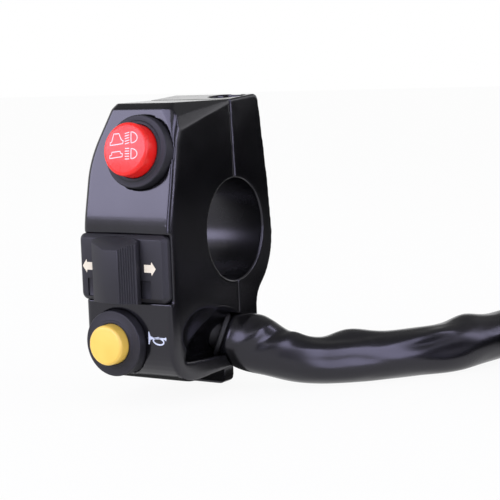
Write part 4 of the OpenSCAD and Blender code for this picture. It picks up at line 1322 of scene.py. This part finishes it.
@dataclass
class CableSleeve:
    """Loose vinyl sleeve from the grommet to the coil, as one wrinkled tube."""

    diameter: float = 10.8
    exit_point: Point3 = (7.4, -2.1, -23.3)
    exit_dip: float = 20.0
    exit_swing: float = 28.0
    mouth: float = 1.2
    straight_out: float = 10.0
    run: tuple[Point3, ...] = (
        (22, 6, 1), (26, 9.2, 0.2), (30, 13, 0), (34, 17.5, 0), (38, 22.5, 0), (42, 28.5, 0),
        (45.5, 35.5, 0), (48.5, 43, 0.2), (51.5, 51, 0.7), (54.5, 59, 1.4), (57.5, 67, 1.4))
    coil_radius: float = 57.0
    coil_gap: float = 0.6
    coil_step: float = 5.0
    coil_turn: float = 450.0
    tail_from: float = 375.0
    tail_in: float = 16.0
    ring_step: float = 0.6
    sides: int = 64
    lip: float = 0.8
    lip_in: float = 0.45
    noise_run: float = 15.0
    noise_height: float = 0.2
    noise_round: float = 1.3
    fine_share: float = 0.3
    fine_pitch: float = 3.0
    settle_run: float = 4.0
    floor_gap: float = 0.02
    folds: tuple[Fold, ...] = (
        Fold(6.5, 92, 4.2, 55, 1.6), Fold(6, 290, 4, 45, 0.6), Fold(7, 48, 3.2, 20, 0.5, 12),
        Fold(10, 48, 3.2, 18, -0.5, 12), Fold(13.5, 60, 3, 22, 0.4, 10), Fold(22, 95, 5, 45, -0.45),
        Fold(29.5, 122, 5.5, 28, 1.6),
        Fold(27, 70, 10, 15, -0.4), Fold(27, 12, 12, 30, -1.0), Fold(47, 52, 7, 12, 0.4, 1.2),
        Fold(46, 30, 6, 11, -0.55, 1.5), Fold(50, 5, 7, 20, -0.5, 0.8), Fold(60, 105, 5, 40, 1.3),
        Fold(53, 318, 8, 36, 0.9), Fold(3.4, 70, 1.1, 60, 0.35))

    def out_of_housing(self) -> Vector:
        """Direction in which the sleeve leaves the housing."""
        dip = math.radians(self.exit_dip)
        swing = math.radians(self.exit_swing)
        return Vector((math.cos(dip) * math.cos(swing), math.cos(dip) * math.sin(swing), -math.sin(dip)))

    def route(self) -> list[Vector]:
        """Points of the route in millimetres: out of the mouth, along the ground and round the coil."""
        away = self.out_of_housing()
        start = Vector(self.exit_point)
        ground = CAD_BOX[0].z / MM + self.diameter / 2
        points = [start + away * self.mouth, start + away * (self.mouth + self.straight_out)]
        points += [Vector((x, y, ground + rise)) for x, y, rise in self.run]
        heading = (points[-1] - points[-2]).normalized()
        first = points[-1] + heading * self.diameter
        centre = first + Vector((heading.y, -heading.x, 0)) * self.coil_radius
        begin = math.atan2(heading.x, -heading.y)
        for i in range(int(self.coil_turn / self.coil_step) + 1):
            turned = i * self.coil_step
            share = max(0.0, turned - self.tail_from) / (self.coil_turn - self.tail_from)
            wound_in = (self.diameter + self.coil_gap) * turned / 360
            radius = self.coil_radius - wound_in - self.tail_in * share ** 2
            angle = begin - math.radians(turned)
            points.append(centre + Vector((math.cos(angle), math.sin(angle), 0)) * radius)
        points.append(points[-1] + (points[-1] - points[-2]).normalized() * self.diameter)
        return points

    def centreline(self) -> list[Vector]:
        """Smooth curve through the route, in millimetres, with evenly spaced points."""
        points = self.route()
        fine: list[Vector] = []
        for i in range(len(points) - 1):
            before = points[max(i - 1, 0)]
            after = points[min(i + 2, len(points) - 1)]
            leave = (points[i + 1] - before) / 2
            arrive = (after - points[i]) / 2
            span = (points[i + 1] - points[i]).length
            steps = max(2, round(span / self.ring_step))
            for k in range(steps):
                t = k / steps
                fine.append(points[i] * (2 * t ** 3 - 3 * t ** 2 + 1) + leave * (t ** 3 - 2 * t ** 2 + t)
                            + points[i + 1] * (3 * t ** 2 - 2 * t ** 3) + arrive * (t ** 3 - t ** 2))
        fine.append(points[-1])
        return fine

    def radius(self, along: float, around: float) -> float:
        """Radius of the wrinkled sleeve at one place.

        Args:
            along: Millimetres from the mouth.
            around: Degrees round it.

        Returns:
            Radius in millimetres.
        """
        settle = min(1.0, along / self.settle_run)
        rolled = max(0.0, 1 - along / self.lip) ** 2 * self.lip_in
        turn = math.radians(around)
        spread = Vector((along / self.noise_run, self.noise_round * math.cos(turn),
                         self.noise_round * math.sin(turn)))
        fine = self.fine_share * noise.noise(self.fine_pitch * spread)
        small = self.noise_height * (noise.noise(spread) + fine)
        folded = sum(f.lift(along, around) for f in self.folds)
        return self.diameter / 2 - rolled + settle * (small + folded)

    def build(self, others: Sequence[bpy.types.Object]) -> None:
        """Args:
            others: Pieces that lie on the cable; not used.
        """
        line = self.centreline()
        floor_z = CAD_BOX[0].z / MM
        points: list[Vector] = []
        along = 0.0
        for i, middle in enumerate(line):
            if i:
                along += (middle - line[i - 1]).length
            heading = (line[min(i + 1, len(line) - 1)] - line[max(i - 1, 0)]).normalized()
            side = heading.cross(Vector((0, 0, 1))).normalized()
            up = side.cross(heading)
            for k in range(self.sides):
                angle = math.tau * k / self.sides
                way = side * math.cos(angle) + up * math.sin(angle)
                reach = self.radius(along, math.degrees(angle))
                point = middle + way * reach
                point.z = max(point.z, floor_z + self.floor_gap)
                points.append(point * MM)
        rings = len(line)
        faces = []
        for i in range(rings - 1):
            for k in range(self.sides):
                low, high = i * self.sides, (i + 1) * self.sides
                after = (k + 1) % self.sides
                faces.append((low + k, low + after, high + after, high + k))
        faces.append(tuple(range(self.sides)))
        faces.append(tuple(range((rings - 1) * self.sides, rings * self.sides)))
        mesh = bpy.data.meshes.new("cable_sleeve")
        mesh.from_pydata(points, [], faces)
        sleeve = Bench.add("cable_sleeve", mesh)
        Bench.weld(sleeve)
        Bench.smooth(sleeve, 60)
        deliver(sleeve, Finishes.VINYL, Body.HOUSING, "sleeve_vinyl", "sleeve_run", "sleeve_coil")
        LOG.info("sleeve length %.1f mm", along)


@dataclass
class CableEnd:
    """Grommet at the housing, tie round the coil, and wires and connector at the cable's end."""

    sleeve: CableSleeve
    wire_way: float = 2.4
    flange: float = 4.2
    neck: Point2 = (3.4, 2.6)
    ridge: Point2 = (4.9, 1.1)
    waist: Point2 = (4.0, 1.0)
    end: float = 3.2
    edge: float = 0.28
    tie_grid: float = 0.2
    shell_grid: float = 0.25
    rounds: int = 2
    wire: float = 2.0
    wire_from: float = -3.0
    wire_end: float = 18.0
    wire_free: float = 14.0
    wire_bow: float = 0.2
    rows: Point2 = (-1.6, 1.6)
    columns: Point3 = (-3.4, 0.0, 3.4)

    def make_grommet(self) -> bpy.types.Object:
        """Turn the ribbed rubber grommet and set it into the cable's way out."""
        flange_back = -self.neck[1] - self.ridge[1]
        waist_from = self.ridge[1]
        waist_to = waist_from + self.waist[1]
        profile = [(self.wire_way, flange_back), (self.flange, flange_back), (self.flange, -self.neck[1]),
                   (self.neck[0], -self.neck[1]), (self.neck[0], 0), (self.ridge[0], 0),
                   (self.ridge[0], waist_from), (self.waist[0], waist_from), (self.waist[0], waist_to),
                   (self.ridge[0], waist_to), (self.ridge[0], self.end), (self.wire_way, self.end)]
        grommet = Bench.turned("rubber_grommet", profile, closed=True)
        Bench.apply(grommet, "BEVEL", width=self.edge * MM, segments=3, limit_method="ANGLE",
                    angle_limit=math.radians(40))
        turned = self.sleeve.out_of_housing().to_track_quat("Z", "Y").to_matrix().to_4x4()
        Bench.place(grommet, Matrix.Translation(Vector(self.sleeve.exit_point) * MM) @ turned)
        Bench.smooth(grommet, 40)
        return deliver(grommet, Finishes.RUBBER, Body.HOUSING, "grommet_rubber", "cable_grommet")

    def make_wires(self) -> list[bpy.types.Object]:
        """Bow six coloured wires from the sleeve's end into the connector."""
        route = self.sleeve.route()
        ahead = (route[-1] - route[-2]).normalized()
        side = Vector((0, 0, 1)).cross(ahead)
        finishes = (Finishes.WIRE_RED, Finishes.WIRE_WHITE, Finishes.WIRE_GREEN,
                    Finishes.WIRE_BROWN, Finishes.WIRE_GREY, Finishes.WIRE_BLUE)
        places = [(row, column) for row in self.rows for column in self.columns]
        wires = []
        for (row, column), finish in zip(places, finishes):
            steps = round(self.wire_end - self.wire_from)
            points = []
            for i in range(steps + 1):
                run = self.wire_from + i
                bow = 1 + self.wire_bow * math.sin(math.pi * min(max(run / self.wire_free, 0), 1))
                points.append(route[-1] + ahead * run + (side * column - Vector((0, 0, row))) * bow)
            wire = Bench.rod(finish.name.replace("vinyl", "lead"), points, self.wire)
            wires.append(deliver(wire, finish, Body.HOUSING, "lead_vinyl", "tail_leads"))
        return wires

    def build(self) -> list[bpy.types.Object]:
        """Make the pieces that lie on the cable.

        Returns:
            Those pieces.
        """
        tie = Bench.moulded("coil_tie", "cable_tie", self.tie_grid, self.rounds)
        deliver(tie, Finishes.NYLON, Body.HOUSING, "tie_black", "coil_tie")
        shell = Bench.moulded("connector_shell", "plug_shell", self.shell_grid, self.rounds)
        deliver(shell, Finishes.NATURAL, Body.HOUSING, "natural_plastic", "connector_shell")
        pins = frame["nodes"]["connector_pins"]
        dress(pins, Finishes.BRASS)
        return [self.make_grommet(), tie, *self.make_wires(), shell, pins]


def main() -> None:
    """Build the studio and every sub-assembly in order."""
    logging.basicConfig(level=logging.INFO, format="%(message)s")
    Studio().build()
    sleeve = CableSleeve()
    sleeve.build(CableEnd(sleeve).build())
    Housing().build()
    dimmer = PushButton("dimmer", Body.DIMMER, "dimmer_press", Finishes.RED, "red_cap")
    dimmer.build()
    BeamSign().build(dimmer)
    PushButton("horn", Body.HORN, "horn_press", Finishes.YELLOW, "yellow_cap", flange=5.7).build()
    TurnSlide().build()
    HornSign().build()


if __name__ == "__main__":
    main()
